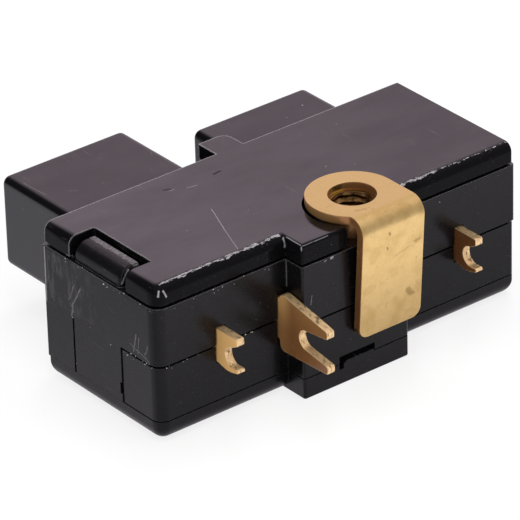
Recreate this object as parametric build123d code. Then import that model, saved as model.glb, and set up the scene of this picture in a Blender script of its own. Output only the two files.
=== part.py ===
from build123d import *

import math
import os

# Horn switch unit for a handlebar: a snapped-together moulded housing with two sprung push
# buttons at the rear, three forked brass terminals at the front and a brass earth bracket over
# a threaded bush in the housing's nose.
#
# Lengths are in millimetres. X runs along the housing, +Y points to the push buttons and +Z to
# the top cover. The origin is the middle of the housing's flat bottom face.

# ---------------------------------------------------------------- housing
HOUSING_LENGTH = 40.3
HOUSING_DEPTH = 16.0
BOTTOM_COVER_HEIGHT = 2.0
LOWER_SHELL_HEIGHT = 5.6
UPPER_SHELL_HEIGHT = 5.6
TOP_COVER_HEIGHT = 2.1
WALL = 1.6
FLOOR = 1.15
FRONT_CORNER = 1.2  # at the left end
END_CORNER = 0.35  # at the front of the right end
REAR_CORNER = 0.12
LOWER_INSET = 0.1  # lower shell and bottom cover stand back from the upper shell
TOP_INSET = 0.15  # top cover stands back from the upper shell
JOINT_GAP = 0.1  # between mouldings that plug into each other
SEAM_WIDTH = 0.25  # open channel along the parting plane between the two shells
LID_SEAM_WIDTH = 0.2  # and along the foot of the top cover
FOOT_SEAM_WIDTH = 0.1  # and along the foot of the lower shell
SEAM_DEPTH = 0.5
OVERSHOOT = 1.0  # how far a cutting block runs past the face it opens
SINK = 0.1  # how far a joined-on rib or peg is sunk into its wall

# ---------------------------------------------------------------- nose
NOSE_WIDTH = 12.0
NOSE_DEPTH = 2.23
NOSE_X = -0.025
NOSE_CORNER = 0.25

# ---------------------------------------------------------------- top cover
TOP_EDGE_RADIUS = 0.9
NOSE_TOP_EDGE = 0.35
TOP_CORNER = 1.2  # at the left end
TOP_END_CORNER = 0.25  # at the front of the right end
TOP_SPIGOT_HEIGHT = 0.9
TOP_SPIGOT_WALL = 0.9
TOP_SPIGOT_END = 1.0  # how far behind the middle the spigot runs along the end walls
TAB_WIDTH = 3.05
TAB_LENGTH = 2.4
TAB_X = 0.48
TAB_CORNER = 1.0
TAB_THICKNESS = 1.5
NOTCH_FRONT_GAP = 1.0  # between the notch and the hook that stands in it
NOTCH_REAR_GAP = 0.45
NOTCH_INNER_GAP = 0.55

# ---------------------------------------------------------------- bottom cover
BOTTOM_EDGE_RADIUS = 1.5
BOTTOM_PLATE = 1.2
BOTTOM_RIM_HEIGHT = 0.8
BOTTOM_RIM_WALL = 0.9
SNAP_WINDOW_WIDTH = 4.0
SNAP_WINDOW_HEIGHT = 0.8
SNAP_WINDOW_DEPTH = 0.7
SNAP_WINDOW_X = 0.0
SNAP_GAP = 0.6  # above the ledge that stands in the window
SNAP_CORNER = 0.5
SNAP_SLOT = 0.5

# ---------------------------------------------------------------- latches of the upper shell
HOOK_WIDTH = 6.6
HOOK_Y = 0.55
HOOK_HEIGHT = 1.75
HOOK_REACH = 2.1
HOOK_RADIUS = 1.25
HOOK_END_RADIUS = 0.4
HOOK_ROOT = 0.5  # how far the hook reaches down into the end wall
HOOK_INSET = 0.3
SKIRT_THICKNESS = 0.8
SKIRT_SETBACK = 5.2  # from the housing's front to the skirt on an end wall
SKIRT_TONGUE = 4.05  # from the housing's rear to the slit in the skirt
SKIRT_SLIT = 0.22
SKIRT_GAP = 0.1
PRY_NOTCH = 0.25
PRY_NOTCH_HEIGHT = 1.1
PRY_NOTCH_UP = 0.9

# ---------------------------------------------------------------- push buttons
HORN_ROOM = 3.05  # between a button and the inner face of the end wall beside it
PASS_ROOM = 2.82
HORN_REACH = 12.45  # how far a button stands out of the rear wall at rest
PASS_REACH = 8.1
TRAVEL = 3.0
BUTTON_WALL = 1.4
BUTTON_EDGE = 0.75
BUTTON_END_EDGE = 0.45
BUTTON_SIDE_GAP = 0.2
BUTTON_TOP_GAP = 0.1
BUTTON_FLOOR_GAP = 0.1
EAR_REACH = 0.9
EAR_THICKNESS = 1.1
EAR_HEIGHT = 6.0
EAR_GAP = 0.29  # between an ear and the partition
PARTITION = 2.15  # thickness of the wall between the two buttons
PARTITION_X = 0.365
STOP_GAP = 0.1
SKIRT_INSIDE = 3.0  # length of the button inside the rear wall

# ---------------------------------------------------------------- contact carriers
CARRIER_PLATE = 1.4
CARRIER_PLUG = 3.0
CARRIER_PLUG_WALL = 1.0
CARRIER_GAP = 0.05
POST_RADIUS = 1.3  # shouldered post that carries the bridge
POST_TIP_RADIUS = 0.7
POST_HEAD_RADIUS = 1.2
POST_HEAD = 0.5

# ---------------------------------------------------------------- contacts
CONTACT_PITCH = 6.6
CONTACT_CLOSED = 0.05  # between the contacts with the button pressed home
CONTACT_RADIUS = 0.95
CONTACT_HEAD = 0.6
SHANK_RADIUS = 0.6
SHANK_GAP = 0.02
BRIDGE_LENGTH = 9.0
BRIDGE_HEIGHT = 2.3
BRIDGE_THICKNESS = 0.5
BRIDGE_CORNER = 0.55

# ---------------------------------------------------------------- terminals
TERMINAL_THICKNESS = 0.8
SLOT_GAP = 0.12
BEND_RADIUS = 0.55
ARM_GAP = 0.1  # between a terminal's arm and the floor
ARM_TOP_GAP = 0.3  # between a terminal's arm and the parting plane
ARM_END = 1.5  # metal past the contact's centre
RIB_HEIGHT = 0.5
RIB_THICKNESS = 0.6
RIB_INNER = 1.0  # from a contact's centre to the rib's end nearer the post
LEFT_BLADE_OFFSET = 1.25  # from a contact outwards to the blade of its terminal
RIGHT_BLADE_OFFSET = 1.07
COMMON_NOSE_GAP = 0.075  # between the common terminal's blade and the nose
SMALL_FORK_REACH = 2.75
SMALL_FORK_UP = 1.6  # above the parting plane
SMALL_FORK_DOWN = 1.75  # below it at the wall
SMALL_BELLY = 0.35  # how far the lower prong hangs below the blade's root
SMALL_BELLY_FROM_WALL = 1.4
SMALL_BELLY_RADIUS = 2.5
SMALL_NOTCH_RADIUS = 1.0
SMALL_NOTCH_FROM_WALL = 1.0
SMALL_NOTCH_DOWN = 0.45
SMALL_MOUTH_UP = 0.95  # the mouth of the fork at its tip, above the parting plane
SMALL_MOUTH_DOWN = 1.4
SMALL_TIP_RADIUS = 0.18
LARGE_FORK_REACH = 6.6
LARGE_FORK_UP = 2.7  # above the parting plane at the wall
LARGE_FORK_DOWN = 3.05  # below it
LARGE_PRONG_DROP = 1.25
LARGE_PRONG_RISE = 0.3
LARGE_TIP_HEIGHT = 0.75
LARGE_TIP_RADIUS = 0.24
LARGE_NOTCH_RADIUS = 0.95
LARGE_NOTCH_FROM_WALL = 2.75
LARGE_NOTCH_DOWN = 0.6
LARGE_ROOT_UP = 0.55  # how far the fork's shoulders stand above and below its neck in the slot
LARGE_ROOT_DOWN = 1.1
LARGE_ROOT_RADIUS = 0.6
LARGE_ROOT_GAP = 0.05  # between the fork's shoulders and the wall

# ---------------------------------------------------------------- springs
RETURN_WIRE = 0.5
RETURN_COIL = 4.2  # outer diameter
RETURN_TURNS = 4.5
WIRE_SIDES = 6  # the round wire is drawn with this many flats
RETURN_CLEAR = 0.3  # between the spring and the parting plane
SPRING_SEAT = 1.5  # length of the pegs inside a return spring
SPRING_SEAT_GAP = 0.3
SPRING_END_GAP = 0.03
SPRING_ROOM = 0.1  # all round a return spring, next to the bush boss

# ---------------------------------------------------------------- earth bracket and bush
SHEET = 0.8
RING_X = 2.3
RING_SETBACK = 1.0  # from the housing's front wall to the ring's centre
RING_RADIUS = 4.17
RING_HOLE = 4.3
RING_LIFT = 0.1  # underside above the top cover
LEG_WIDTH = 6.95
LEG_LENGTH = 11.85  # from the ring's top face down to the tip
LEG_NOSE_GAP = 0.87  # between the leg and the nose at the bend
LEG_LEAN = 4.0  # degrees, tip towards the nose
LEG_CORNER = 1.0
LEG_BEND = 0.7
NECK_FILLET = 0.7
BUSH_RADIUS = 2.6
BUSH_LENGTH = 6.5
BUSH_BORE = 3.3
BUSH_BLIND = 0.6
BUSH_GROOVE = 0.3
BUSH_GROOVE_WIDTH = 1.0
BUSH_GROOVE_UP = 1.5  # above the bush's lower end
BUSH_GAP = 0.02
BOSS_LEDGE = 0.25  # floor that the boss shows round the foot of the lid's pocket
PARTITION_GAP = 0.5  # between the bush and the partition behind it
POCKET_RADIUS = 4.4
RING_BLEND = 60.0  # degrees, a point on the ring's far side

# ---------------------------------------------------------------- levels and faces
Z_SEAM = BOTTOM_COVER_HEIGHT
Z_PARTING = Z_SEAM + LOWER_SHELL_HEIGHT
Z_LID = Z_PARTING + UPPER_SHELL_HEIGHT
Z_TOP = Z_LID + TOP_COVER_HEIGHT
Z_FLOOR = Z_SEAM + BOTTOM_RIM_HEIGHT + JOINT_GAP + FLOOR
FRONT = -HOUSING_DEPTH / 2
REAR = HOUSING_DEPTH / 2
INNER_FRONT = FRONT + WALL
INNER_REAR = REAR - WALL
INNER_END = HOUSING_LENGTH / 2 - WALL
NOSE_FRONT = FRONT - NOSE_DEPTH

NOTCH_FRONT = HOOK_Y - HOOK_WIDTH / 2 - NOTCH_FRONT_GAP
NOTCH_REAR = HOOK_Y + HOOK_WIDTH / 2 + NOTCH_REAR_GAP
NOTCH_END = -HOUSING_LENGTH / 2 + HOOK_INSET + HOOK_REACH + NOTCH_INNER_GAP

SKIRT_FRONT = FRONT + SKIRT_SETBACK
SKIRT_SLIT_Y = REAR - SKIRT_TONGUE

BUTTON_FROM_PARTITION = PARTITION / 2 + EAR_GAP + EAR_REACH
HORN_WIDTH = PARTITION_X - BUTTON_FROM_PARTITION + INNER_END - HORN_ROOM
HORN_X = -INNER_END + HORN_ROOM + HORN_WIDTH / 2
PASS_WIDTH = INNER_END - PASS_ROOM - PARTITION_X - BUTTON_FROM_PARTITION
PASS_X = INNER_END - PASS_ROOM - PASS_WIDTH / 2

HORN_LIVE_X = HORN_X - CONTACT_PITCH / 2
HORN_COMMON_X = HORN_X + CONTACT_PITCH / 2
PASS_COMMON_X = PASS_X - CONTACT_PITCH / 2
PASS_LIVE_X = PASS_X + CONTACT_PITCH / 2
LEFT_TERMINAL_X = HORN_LIVE_X - LEFT_BLADE_OFFSET
RIGHT_TERMINAL_X = PASS_LIVE_X + RIGHT_BLADE_OFFSET
COMMON_TERMINAL_X = NOSE_X - NOSE_WIDTH / 2 - COMMON_NOSE_GAP - TERMINAL_THICKNESS / 2

RING_Y = FRONT + RING_SETBACK
LEG_FACE_Y = NOSE_FRONT - LEG_NOSE_GAP - SHEET

BUTTON_BOTTOM = Z_FLOOR + BUTTON_FLOOR_GAP
BUTTON_TOP = Z_LID - BUTTON_TOP_GAP
BUTTON_Z = (BUTTON_TOP + BUTTON_BOTTOM) / 2
BUTTON_MOUTH = INNER_REAR - SKIRT_INSIDE  # inner end of a button
CARRIER_FRONT = BUTTON_MOUTH - CARRIER_PLATE

CONTACT_Z = (Z_FLOOR + Z_PARTING) / 2
ARM_FACE = INNER_FRONT + TERMINAL_THICKNESS
FIXED_FACE = ARM_FACE + CONTACT_HEAD
MOVING_FACE = FIXED_FACE + TRAVEL + CONTACT_CLOSED
BRIDGE_FRONT = MOVING_FACE + CONTACT_HEAD
BRIDGE_BACK = BRIDGE_FRONT + BRIDGE_THICKNESS
SPRING_Z = Z_PARTING + RETURN_CLEAR + RETURN_COIL / 2
PEG_RADIUS = RETURN_COIL / 2 - RETURN_WIRE - SPRING_SEAT_GAP

RING_UNDER = Z_TOP + RING_LIFT
RING_TOP = RING_UNDER + SHEET


def block(x0, x1, y0, y1, z0, z1):
    """A box between two corners."""
    return Pos((x0 + x1) / 2, (y0 + y1) / 2, (z0 + z1) / 2) * Box(x1 - x0, y1 - y0, z1 - z0)


def rod_y(x, z, radius, y0, y1):
    """A round bar along Y."""
    return Pos(x, (y0 + y1) / 2, z) * Rot(90, 0, 0) * Cylinder(radius, y1 - y0)


def rod_z(x, y, radius, z0, z1):
    """A round bar along Z."""
    return Pos(x, y, (z0 + z1) / 2) * Cylinder(radius, z1 - z0)


def upright(solid, x_side, y_side):
    """The vertical edges of a block on the given sides: -1, 1, or 0 for both."""
    middle = solid.bounding_box().center()
    picked = solid.edges().filter_by(Axis.Z)
    if x_side:
        picked = picked.filter_by(lambda e: (e.center().X - middle.X) * x_side > 0)
    if y_side:
        picked = picked.filter_by(lambda e: (e.center().Y - middle.Y) * y_side > 0)
    return picked


def plain_block(z0, z1, inset, left_corner):
    """The housing's long block, rounded only at the front of its left end."""
    half_x = HOUSING_LENGTH / 2 - inset
    half_y = HOUSING_DEPTH / 2 - inset
    body = block(-half_x, half_x, -half_y, half_y, z0, z1)
    return fillet(upright(body, -1, -1), left_corner - inset)


def body_block(z0, z1, inset):
    """The housing's long block with all its upright corners rounded."""
    body = plain_block(z0, z1, inset, FRONT_CORNER)
    body = fillet(upright(body, 1, -1), END_CORNER)
    return fillet(upright(body, 0, 1), REAR_CORNER)


def nose_block(z0, z1, inset):
    """The nose that stands out of the front wall, as far back as the wall's inner face."""
    half_x = NOSE_WIDTH / 2 - inset
    nose = block(NOSE_X - half_x, NOSE_X + half_x, NOSE_FRONT + inset, INNER_FRONT, z0, z1)
    corners = nose.edges().filter_by(Axis.Z).group_by(Axis.Y)[0]
    return fillet(corners, NOSE_CORNER)


def button_windows(z0, z1):
    """The openings in the rear wall that the push buttons slide through."""
    cuts = []
    for x, width in ((HORN_X, HORN_WIDTH), (PASS_X, PASS_WIDTH)):
        half = width / 2 + BUTTON_SIDE_GAP
        cuts.append(block(x - half, x + half, INNER_REAR - OVERSHOOT, REAR + OVERSHOOT, z0, z1))
    return cuts


def terminal_slots():
    """The slots that the three terminal blades pass through in the front wall."""
    half = TERMINAL_THICKNESS / 2 + SLOT_GAP
    y0 = FRONT - OVERSHOOT
    y1 = INNER_FRONT + OVERSHOOT
    cuts = []
    low = Z_PARTING - SMALL_FORK_DOWN - SLOT_GAP
    high = Z_PARTING + SMALL_FORK_UP + SLOT_GAP
    for x in (LEFT_TERMINAL_X, RIGHT_TERMINAL_X):
        cuts.append(block(x - half, x + half, y0, y1, low, high))
    low = Z_PARTING - LARGE_FORK_DOWN + LARGE_ROOT_DOWN - SLOT_GAP
    high = Z_PARTING + LARGE_FORK_UP - LARGE_ROOT_UP + SLOT_GAP
    cuts.append(block(COMMON_TERMINAL_X - half, COMMON_TERMINAL_X + half, y0, y1, low, high))
    return cuts


def seam_channel(low, high, corner):
    """The narrow open channel round the outside of the housing between two levels."""
    channel = plain_block(low, high, 0, corner) + nose_block(low, high, 0)
    core = plain_block(low, high, SEAM_DEPTH, corner)
    return channel - core - nose_block(low, high, SEAM_DEPTH)


def skirt_zone(side, grow):
    """The part of an end wall that the upper shell's skirt takes, below the parting plane."""
    outer = HOUSING_LENGTH / 2
    depth = SKIRT_THICKNESS + grow
    x0, x1 = sorted((side * (outer + OVERSHOOT), side * (outer - depth)))
    return block(x0, x1, SKIRT_FRONT - grow, REAR + OVERSHOOT, Z_SEAM - OVERSHOOT, Z_PARTING)


def bottom_cover():
    """The cap under the housing, with a rim that plugs into the lower shell."""
    cover = body_block(0, Z_SEAM, LOWER_INSET)
    low = cover.edges().group_by(Axis.Z)[0].filter_by(lambda e: e.center().Y < REAR - WALL)
    cover = fillet(low, BOTTOM_EDGE_RADIUS - LOWER_INSET)
    nose = nose_block(0, Z_SEAM, LOWER_INSET)
    nose_low = nose.edges().group_by(Axis.Z)[0].filter_by(lambda e: e.center().Y < FRONT)
    cover += fillet(nose_low, NOSE_CORNER - LOWER_INSET)
    rim_x = INNER_END - JOINT_GAP
    rim_y = INNER_REAR - JOINT_GAP
    rim_top = Z_SEAM + BOTTOM_RIM_HEIGHT
    cover += block(-rim_x, rim_x, -rim_y, rim_y, BOTTOM_PLATE, rim_top)
    hollow_x = rim_x - BOTTOM_RIM_WALL
    hollow_y = rim_y - BOTTOM_RIM_WALL
    rim_open = rim_top + OVERSHOOT
    cover -= block(-hollow_x, hollow_x, -hollow_y, hollow_y, BOTTOM_PLATE, rim_open)
    left = SNAP_WINDOW_X - SNAP_WINDOW_WIDTH / 2
    right = left + SNAP_WINDOW_WIDTH - JOINT_GAP
    inner = NOSE_FRONT + SNAP_WINDOW_DEPTH
    slot = left + SNAP_SLOT
    slot_low = Z_SEAM - SNAP_SLOT
    cover -= block(left, slot, NOSE_FRONT - OVERSHOOT, inner, slot_low, Z_SEAM + OVERSHOOT)
    face = NOSE_FRONT + LOWER_INSET
    ledge = Z_SEAM + SNAP_WINDOW_HEIGHT - SNAP_GAP
    tongue = block(slot, right, face, inner - JOINT_GAP, slot_low, ledge)
    crown = tongue.edges().filter_by(Axis.Y).group_by(Axis.Z)[-1].sort_by(Axis.X)
    return cover + fillet(crown[0], SNAP_CORNER)


def lower_shell():
    """The lower half of the housing: floor, walls, terminal slots and seats for the arms."""
    shell = body_block(Z_SEAM, Z_PARTING, LOWER_INSET)
    shell += nose_block(Z_SEAM, Z_PARTING, LOWER_INSET)
    under = Z_FLOOR - FLOOR
    nose0 = NOSE_X - NOSE_WIDTH / 2 + WALL
    nose1 = NOSE_X + NOSE_WIDTH / 2 - WALL
    nose_y = NOSE_FRONT + WALL
    for z0, z1 in ((Z_FLOOR, Z_PARTING + OVERSHOOT), (Z_SEAM - OVERSHOOT, under)):
        shell -= block(-INNER_END, INNER_END, INNER_FRONT, INNER_REAR, z0, z1)
        shell -= block(nose0, nose1, nose_y, INNER_FRONT + OVERSHOOT, z0, z1)
    for cut in button_windows(Z_FLOOR, Z_PARTING + OVERSHOOT):
        shell -= cut
    for cut in terminal_slots():
        shell -= cut
    for side in (-1, 1):
        shell -= skirt_zone(side, SKIRT_GAP)
    shell -= seam_channel(Z_PARTING - SEAM_WIDTH, Z_PARTING, FRONT_CORNER)
    shell -= seam_channel(Z_SEAM, Z_SEAM + FOOT_SEAM_WIDTH, FRONT_CORNER)
    left = SNAP_WINDOW_X - SNAP_WINDOW_WIDTH / 2
    right = left + SNAP_WINDOW_WIDTH
    snap_y = NOSE_FRONT + SNAP_WINDOW_DEPTH
    snap_z = Z_SEAM + SNAP_WINDOW_HEIGHT
    shell -= block(left, right, NOSE_FRONT - OVERSHOOT, snap_y, Z_SEAM - OVERSHOOT, snap_z)
    half = PARTITION / 2
    wall_front = FIXED_FACE + JOINT_GAP
    shell += block(PARTITION_X - half, PARTITION_X + half, wall_front, INNER_REAR, under, Z_PARTING)
    y0 = ARM_FACE + JOINT_GAP
    y1 = y0 + RIB_THICKNESS
    for x0, x1 in rib_spans():
        shell += block(x0, x1, y0, y1, Z_FLOOR - SINK, Z_FLOOR + RIB_HEIGHT)
    return shell


def rib_spans():
    """Where each contact has a rib behind its arm, clear of the carriers' posts."""
    spans = []
    for x in (HORN_X, PASS_X):
        left = x - CONTACT_PITCH / 2
        right = x + CONTACT_PITCH / 2
        spans.append((left - ARM_END, left + RIB_INNER))
        spans.append((right - RIB_INNER, right + ARM_END))
    return spans


def latch_hook():
    """The hook on the left end wall that holds the top cover, with a rounded outer edge."""
    outer = -HOUSING_LENGTH / 2 + HOOK_INSET
    y0 = HOOK_Y - HOOK_WIDTH / 2
    y1 = HOOK_Y + HOOK_WIDTH / 2
    hook = block(outer, outer + HOOK_REACH, y0, y1, Z_LID - HOOK_ROOT, Z_LID + HOOK_HEIGHT)
    crown = hook.edges().filter_by(Axis.Y).group_by(Axis.Z)[-1].sort_by(Axis.X)
    hook = fillet(crown[0], HOOK_RADIUS)
    ends = hook.edges().group_by(Axis.Z)[-1].filter_by(Axis.X)
    return fillet(ends, HOOK_END_RADIUS)


def upper_shell():
    """The upper half of the housing, with the latches, the bush boss and the spring pegs."""
    shell = body_block(Z_PARTING, Z_LID, 0)
    low = Z_PARTING - OVERSHOOT
    high = Z_LID + OVERSHOOT
    shell -= block(-INNER_END, INNER_END, INNER_FRONT, INNER_REAR, low, high)
    shell += nose_block(Z_PARTING, Z_LID, 0)
    boss = rod_z(RING_X, RING_Y, POCKET_RADIUS + BOSS_LEDGE, Z_PARTING, Z_LID)
    shell += boss & block(-INNER_END, INNER_END, FRONT, REAR, Z_PARTING, Z_LID)
    for cut in button_windows(low, high):
        shell -= cut
    for cut in terminal_slots():
        shell -= cut
    left = PARTITION_X - PARTITION / 2
    right = PARTITION_X + PARTITION / 2
    wall_front = RING_Y + BUSH_RADIUS + PARTITION_GAP
    shell += block(left, right, wall_front, INNER_REAR, Z_PARTING, Z_LID)
    for side in (-1, 1):
        shell += skirt(side)
    for x in (HORN_X, PASS_X):
        shell -= rod_y(x, SPRING_Z, RETURN_COIL / 2 + SPRING_ROOM, INNER_FRONT, BUTTON_MOUTH)
        shell += rod_y(x, SPRING_Z, PEG_RADIUS, INNER_FRONT - SINK, INNER_FRONT + SPRING_SEAT)
    shell += latch_hook()
    bush_low = RING_UNDER - BUSH_LENGTH - BUSH_GAP
    return shell - rod_z(RING_X, RING_Y, BUSH_RADIUS + BUSH_GAP, bush_low, high)


def skirt(side):
    """A sprung skirt on one end wall that snaps over the lower shell, slit behind its tongue."""
    panel = body_block(Z_SEAM + SKIRT_GAP, Z_PARTING, 0)
    panel &= skirt_zone(side, 0)
    outer = side * HOUSING_LENGTH / 2
    x0, x1 = sorted((outer + side, outer - side * (SKIRT_THICKNESS + OVERSHOOT)))
    slit0 = SKIRT_SLIT_Y - SKIRT_SLIT / 2
    slit1 = SKIRT_SLIT_Y + SKIRT_SLIT / 2
    panel -= block(x0, x1, slit0, slit1, 0, Z_PARTING - SKIRT_GAP)
    low = Z_SEAM + PRY_NOTCH_UP
    high = low + PRY_NOTCH_HEIGHT
    panel -= block(x0, x1, SKIRT_FRONT - OVERSHOOT, SKIRT_FRONT + PRY_NOTCH, low, high)
    return panel


def top_cover():
    """The lid: rounded ends and front, rear tab, pocket round the bush and notch for the hook."""
    cover = plain_block(Z_LID, Z_TOP, TOP_INSET, TOP_CORNER + TOP_INSET)
    crown = cover.edges().group_by(Axis.Z)[-1].filter_by(lambda e: e.center().Y < REAR - WALL)
    cover = fillet(crown.filter_by(lambda e: e.center().X < INNER_END), TOP_EDGE_RADIUS)
    cover = fillet(upright(cover, 1, -1), TOP_END_CORNER)
    nose = nose_block(Z_LID, Z_TOP, TOP_INSET)
    nose_top = nose.edges().group_by(Axis.Z)[-1].filter_by(lambda e: e.center().Y < FRONT)
    cover += fillet(nose_top, NOSE_TOP_EDGE)
    cover -= block(RING_X, NOSE_X + NOSE_WIDTH / 2, NOSE_FRONT, FRONT, Z_LID, Z_TOP)
    cover -= seam_channel(Z_LID, Z_LID + LID_SEAM_WIDTH, FRONT_CORNER)
    cover += rear_tab()
    outside = -HOUSING_LENGTH / 2 - OVERSHOOT
    low = Z_LID - OVERSHOOT
    high = Z_TOP + OVERSHOOT
    notch = block(outside, NOTCH_END, NOTCH_FRONT, NOTCH_REAR, low, high)
    cover -= fillet(upright(notch, 0, 1).sort_by(Axis.X)[-1], NOSE_CORNER)
    cover += cover_spigot()
    cover -= rod_z(RING_X, RING_Y, POCKET_RADIUS, low, high)
    boss_room = POCKET_RADIUS + BOSS_LEDGE + JOINT_GAP
    return cover - rod_z(RING_X, RING_Y, boss_room, Z_LID - TOP_SPIGOT_HEIGHT - OVERSHOOT, Z_LID)


def rear_tab():
    """The tongue of the lid that lies in the gap between the two push buttons."""
    left = TAB_X - TAB_WIDTH / 2
    right = TAB_X + TAB_WIDTH / 2
    tab = block(left, right, INNER_REAR, REAR + TAB_LENGTH, Z_TOP - TAB_THICKNESS, Z_TOP)
    return fillet(upright(tab, 1, 0).sort_by(Axis.Y)[-1], TAB_CORNER)


def cover_spigot():
    """The ridge under the lid that plugs inside the front and end walls of the upper shell."""
    outer_x = INNER_END - JOINT_GAP
    outer_y = INNER_FRONT + JOINT_GAP
    low = Z_LID - TOP_SPIGOT_HEIGHT
    ridge = block(-outer_x, outer_x, outer_y, TOP_SPIGOT_END, low, Z_LID + SINK)
    inner_x = outer_x - TOP_SPIGOT_WALL
    inner_y = outer_y + TOP_SPIGOT_WALL
    ridge -= block(-inner_x, inner_x, inner_y, REAR, low - OVERSHOOT, Z_LID)
    outside = -HOUSING_LENGTH / 2
    return ridge - block(outside, NOTCH_END, NOTCH_FRONT, REAR, low - OVERSHOOT, Z_TOP)


def button(x, width, reach):
    """A hollow push button, open at its inner end, with two ears that stop it at the wall."""
    half = width / 2
    end = REAR + reach
    cap = block(x - half, x + half, BUTTON_MOUTH, end, BUTTON_BOTTOM, BUTTON_TOP)
    cap = fillet(cap.edges().filter_by(Axis.Y), BUTTON_EDGE)
    cap = fillet(cap.edges().group_by(Axis.Y)[-1], BUTTON_END_EDGE)
    room = half - BUTTON_WALL
    low = BUTTON_BOTTOM + BUTTON_WALL
    high = BUTTON_TOP - BUTTON_WALL
    cap -= block(x - room, x + room, BUTTON_MOUTH - OVERSHOOT, end - BUTTON_WALL, low, high)
    y1 = INNER_REAR - STOP_GAP
    y0 = y1 - EAR_THICKNESS
    z0 = BUTTON_Z - EAR_HEIGHT / 2
    z1 = BUTTON_Z + EAR_HEIGHT / 2
    for side in (-1, 1):
        x0, x1 = sorted((x + side * (half - BUTTON_WALL / 2), x + side * (half + EAR_REACH)))
        cap += block(x0, x1, y0, y1, z0, z1)
    return cap


def carrier(x, width):
    """The moulding plugged into a button, with a peg for the return spring and a headed post."""
    half = width / 2 - CARRIER_GAP
    low = BUTTON_BOTTOM + CARRIER_GAP
    high = BUTTON_TOP - CARRIER_GAP
    part = block(x - half, x + half, CARRIER_FRONT, BUTTON_MOUTH, low, high)
    part = fillet(part.edges().filter_by(Axis.Y), BUTTON_EDGE)
    half = width / 2 - BUTTON_WALL - CARRIER_GAP
    low = BUTTON_BOTTOM + BUTTON_WALL + CARRIER_GAP
    high = BUTTON_TOP - BUTTON_WALL - CARRIER_GAP
    end = BUTTON_MOUTH + CARRIER_PLUG
    part += block(x - half, x + half, BUTTON_MOUTH, end, low, high)
    half -= CARRIER_PLUG_WALL
    low += CARRIER_PLUG_WALL
    high -= CARRIER_PLUG_WALL
    part -= block(x - half, x + half, BUTTON_MOUTH, end + OVERSHOOT, low, high)
    part += rod_y(x, SPRING_Z, PEG_RADIUS, CARRIER_FRONT - SPRING_SEAT, CARRIER_FRONT)
    part += rod_y(x, CONTACT_Z, POST_RADIUS, BRIDGE_BACK, CARRIER_FRONT)
    part += rod_y(x, CONTACT_Z, POST_TIP_RADIUS, BRIDGE_FRONT, BRIDGE_BACK)
    part += rod_y(x, CONTACT_Z, POST_HEAD_RADIUS, BRIDGE_FRONT - POST_HEAD, BRIDGE_FRONT)
    return part


def bridge(x):
    """The brass strip that joins two terminals when the button is pressed."""
    half = BRIDGE_LENGTH / 2
    low = CONTACT_Z - BRIDGE_HEIGHT / 2
    high = CONTACT_Z + BRIDGE_HEIGHT / 2
    strip = block(x - half, x + half, BRIDGE_FRONT, BRIDGE_BACK, low, high)
    strip = fillet(strip.edges().filter_by(Axis.Y), BRIDGE_CORNER)
    y0 = BRIDGE_FRONT - OVERSHOOT
    y1 = BRIDGE_BACK + OVERSHOOT
    strip -= rod_y(x, CONTACT_Z, POST_TIP_RADIUS + SHANK_GAP, y0, y1)
    for side in (-1, 1):
        hole_x = x + side * CONTACT_PITCH / 2
        strip -= rod_y(hole_x, CONTACT_Z, SHANK_RADIUS + SHANK_GAP, y0, y1)
    return strip


def moving_contacts(x):
    """The two rivets on a bridge."""
    rivets = []
    for side in (-1, 1):
        rivet_x = x + side * CONTACT_PITCH / 2
        head = rod_y(rivet_x, CONTACT_Z, CONTACT_RADIUS, MOVING_FACE, BRIDGE_FRONT)
        rivets.append(head + rod_y(rivet_x, CONTACT_Z, SHANK_RADIUS, BRIDGE_FRONT, BRIDGE_BACK))
    return Compound(rivets)


def fixed_contact(x):
    """A rivet on a terminal's arm."""
    head = rod_y(x, CONTACT_Z, CONTACT_RADIUS, ARM_FACE, FIXED_FACE)
    return head + rod_y(x, CONTACT_Z, SHANK_RADIUS, INNER_FRONT, ARM_FACE)


def blade(outline, x):
    """Turn an outline drawn in Y and Z into a blade of the terminals' thickness at x."""
    return extrude(Plane.YZ.offset(x - TERMINAL_THICKNESS / 2) * outline, TERMINAL_THICKNESS)


def small_fork(x):
    """The blade of an outer terminal: a short fork that opens away from the wall."""
    tip = FRONT - SMALL_FORK_REACH
    top = Z_PARTING + SMALL_FORK_UP
    low = Z_PARTING - SMALL_FORK_DOWN
    belly = (FRONT - SMALL_BELLY_FROM_WALL, low - SMALL_BELLY)
    upper = [(INNER_FRONT, top), (tip, top), (tip, low)]
    outline = Polygon(*upper, belly, (FRONT, low), (INNER_FRONT, low), align=None)
    outline = fillet(outline.vertices().sort_by_distance(belly)[0], SMALL_BELLY_RADIUS)
    mouth = (Z_PARTING + SMALL_MOUTH_UP, Z_PARTING - SMALL_MOUTH_DOWN)
    notch_y = FRONT - SMALL_NOTCH_FROM_WALL - SMALL_NOTCH_RADIUS
    outline -= fork_notch(tip, mouth, notch_y, Z_PARTING - SMALL_NOTCH_DOWN, SMALL_NOTCH_RADIUS)
    tips = outline.vertices().group_by(Axis.X)[0]
    return blade(fillet(tips, SMALL_TIP_RADIUS), x)


def fork_notch(tip, mouth, y, z, radius):
    """The opening of a fork in Y and Z: a round throat that runs out to the mouth at the tip."""
    throat_top = (y, z + radius)
    throat_low = (y, z - radius)
    past = tip - OVERSHOOT
    upper = [throat_top, (tip, mouth[0]), (past, mouth[0])]
    lower = [(past, mouth[1]), (tip, mouth[1]), throat_low]
    return Polygon(*upper, *lower, align=None) + Pos(y, z) * Circle(radius)


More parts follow.
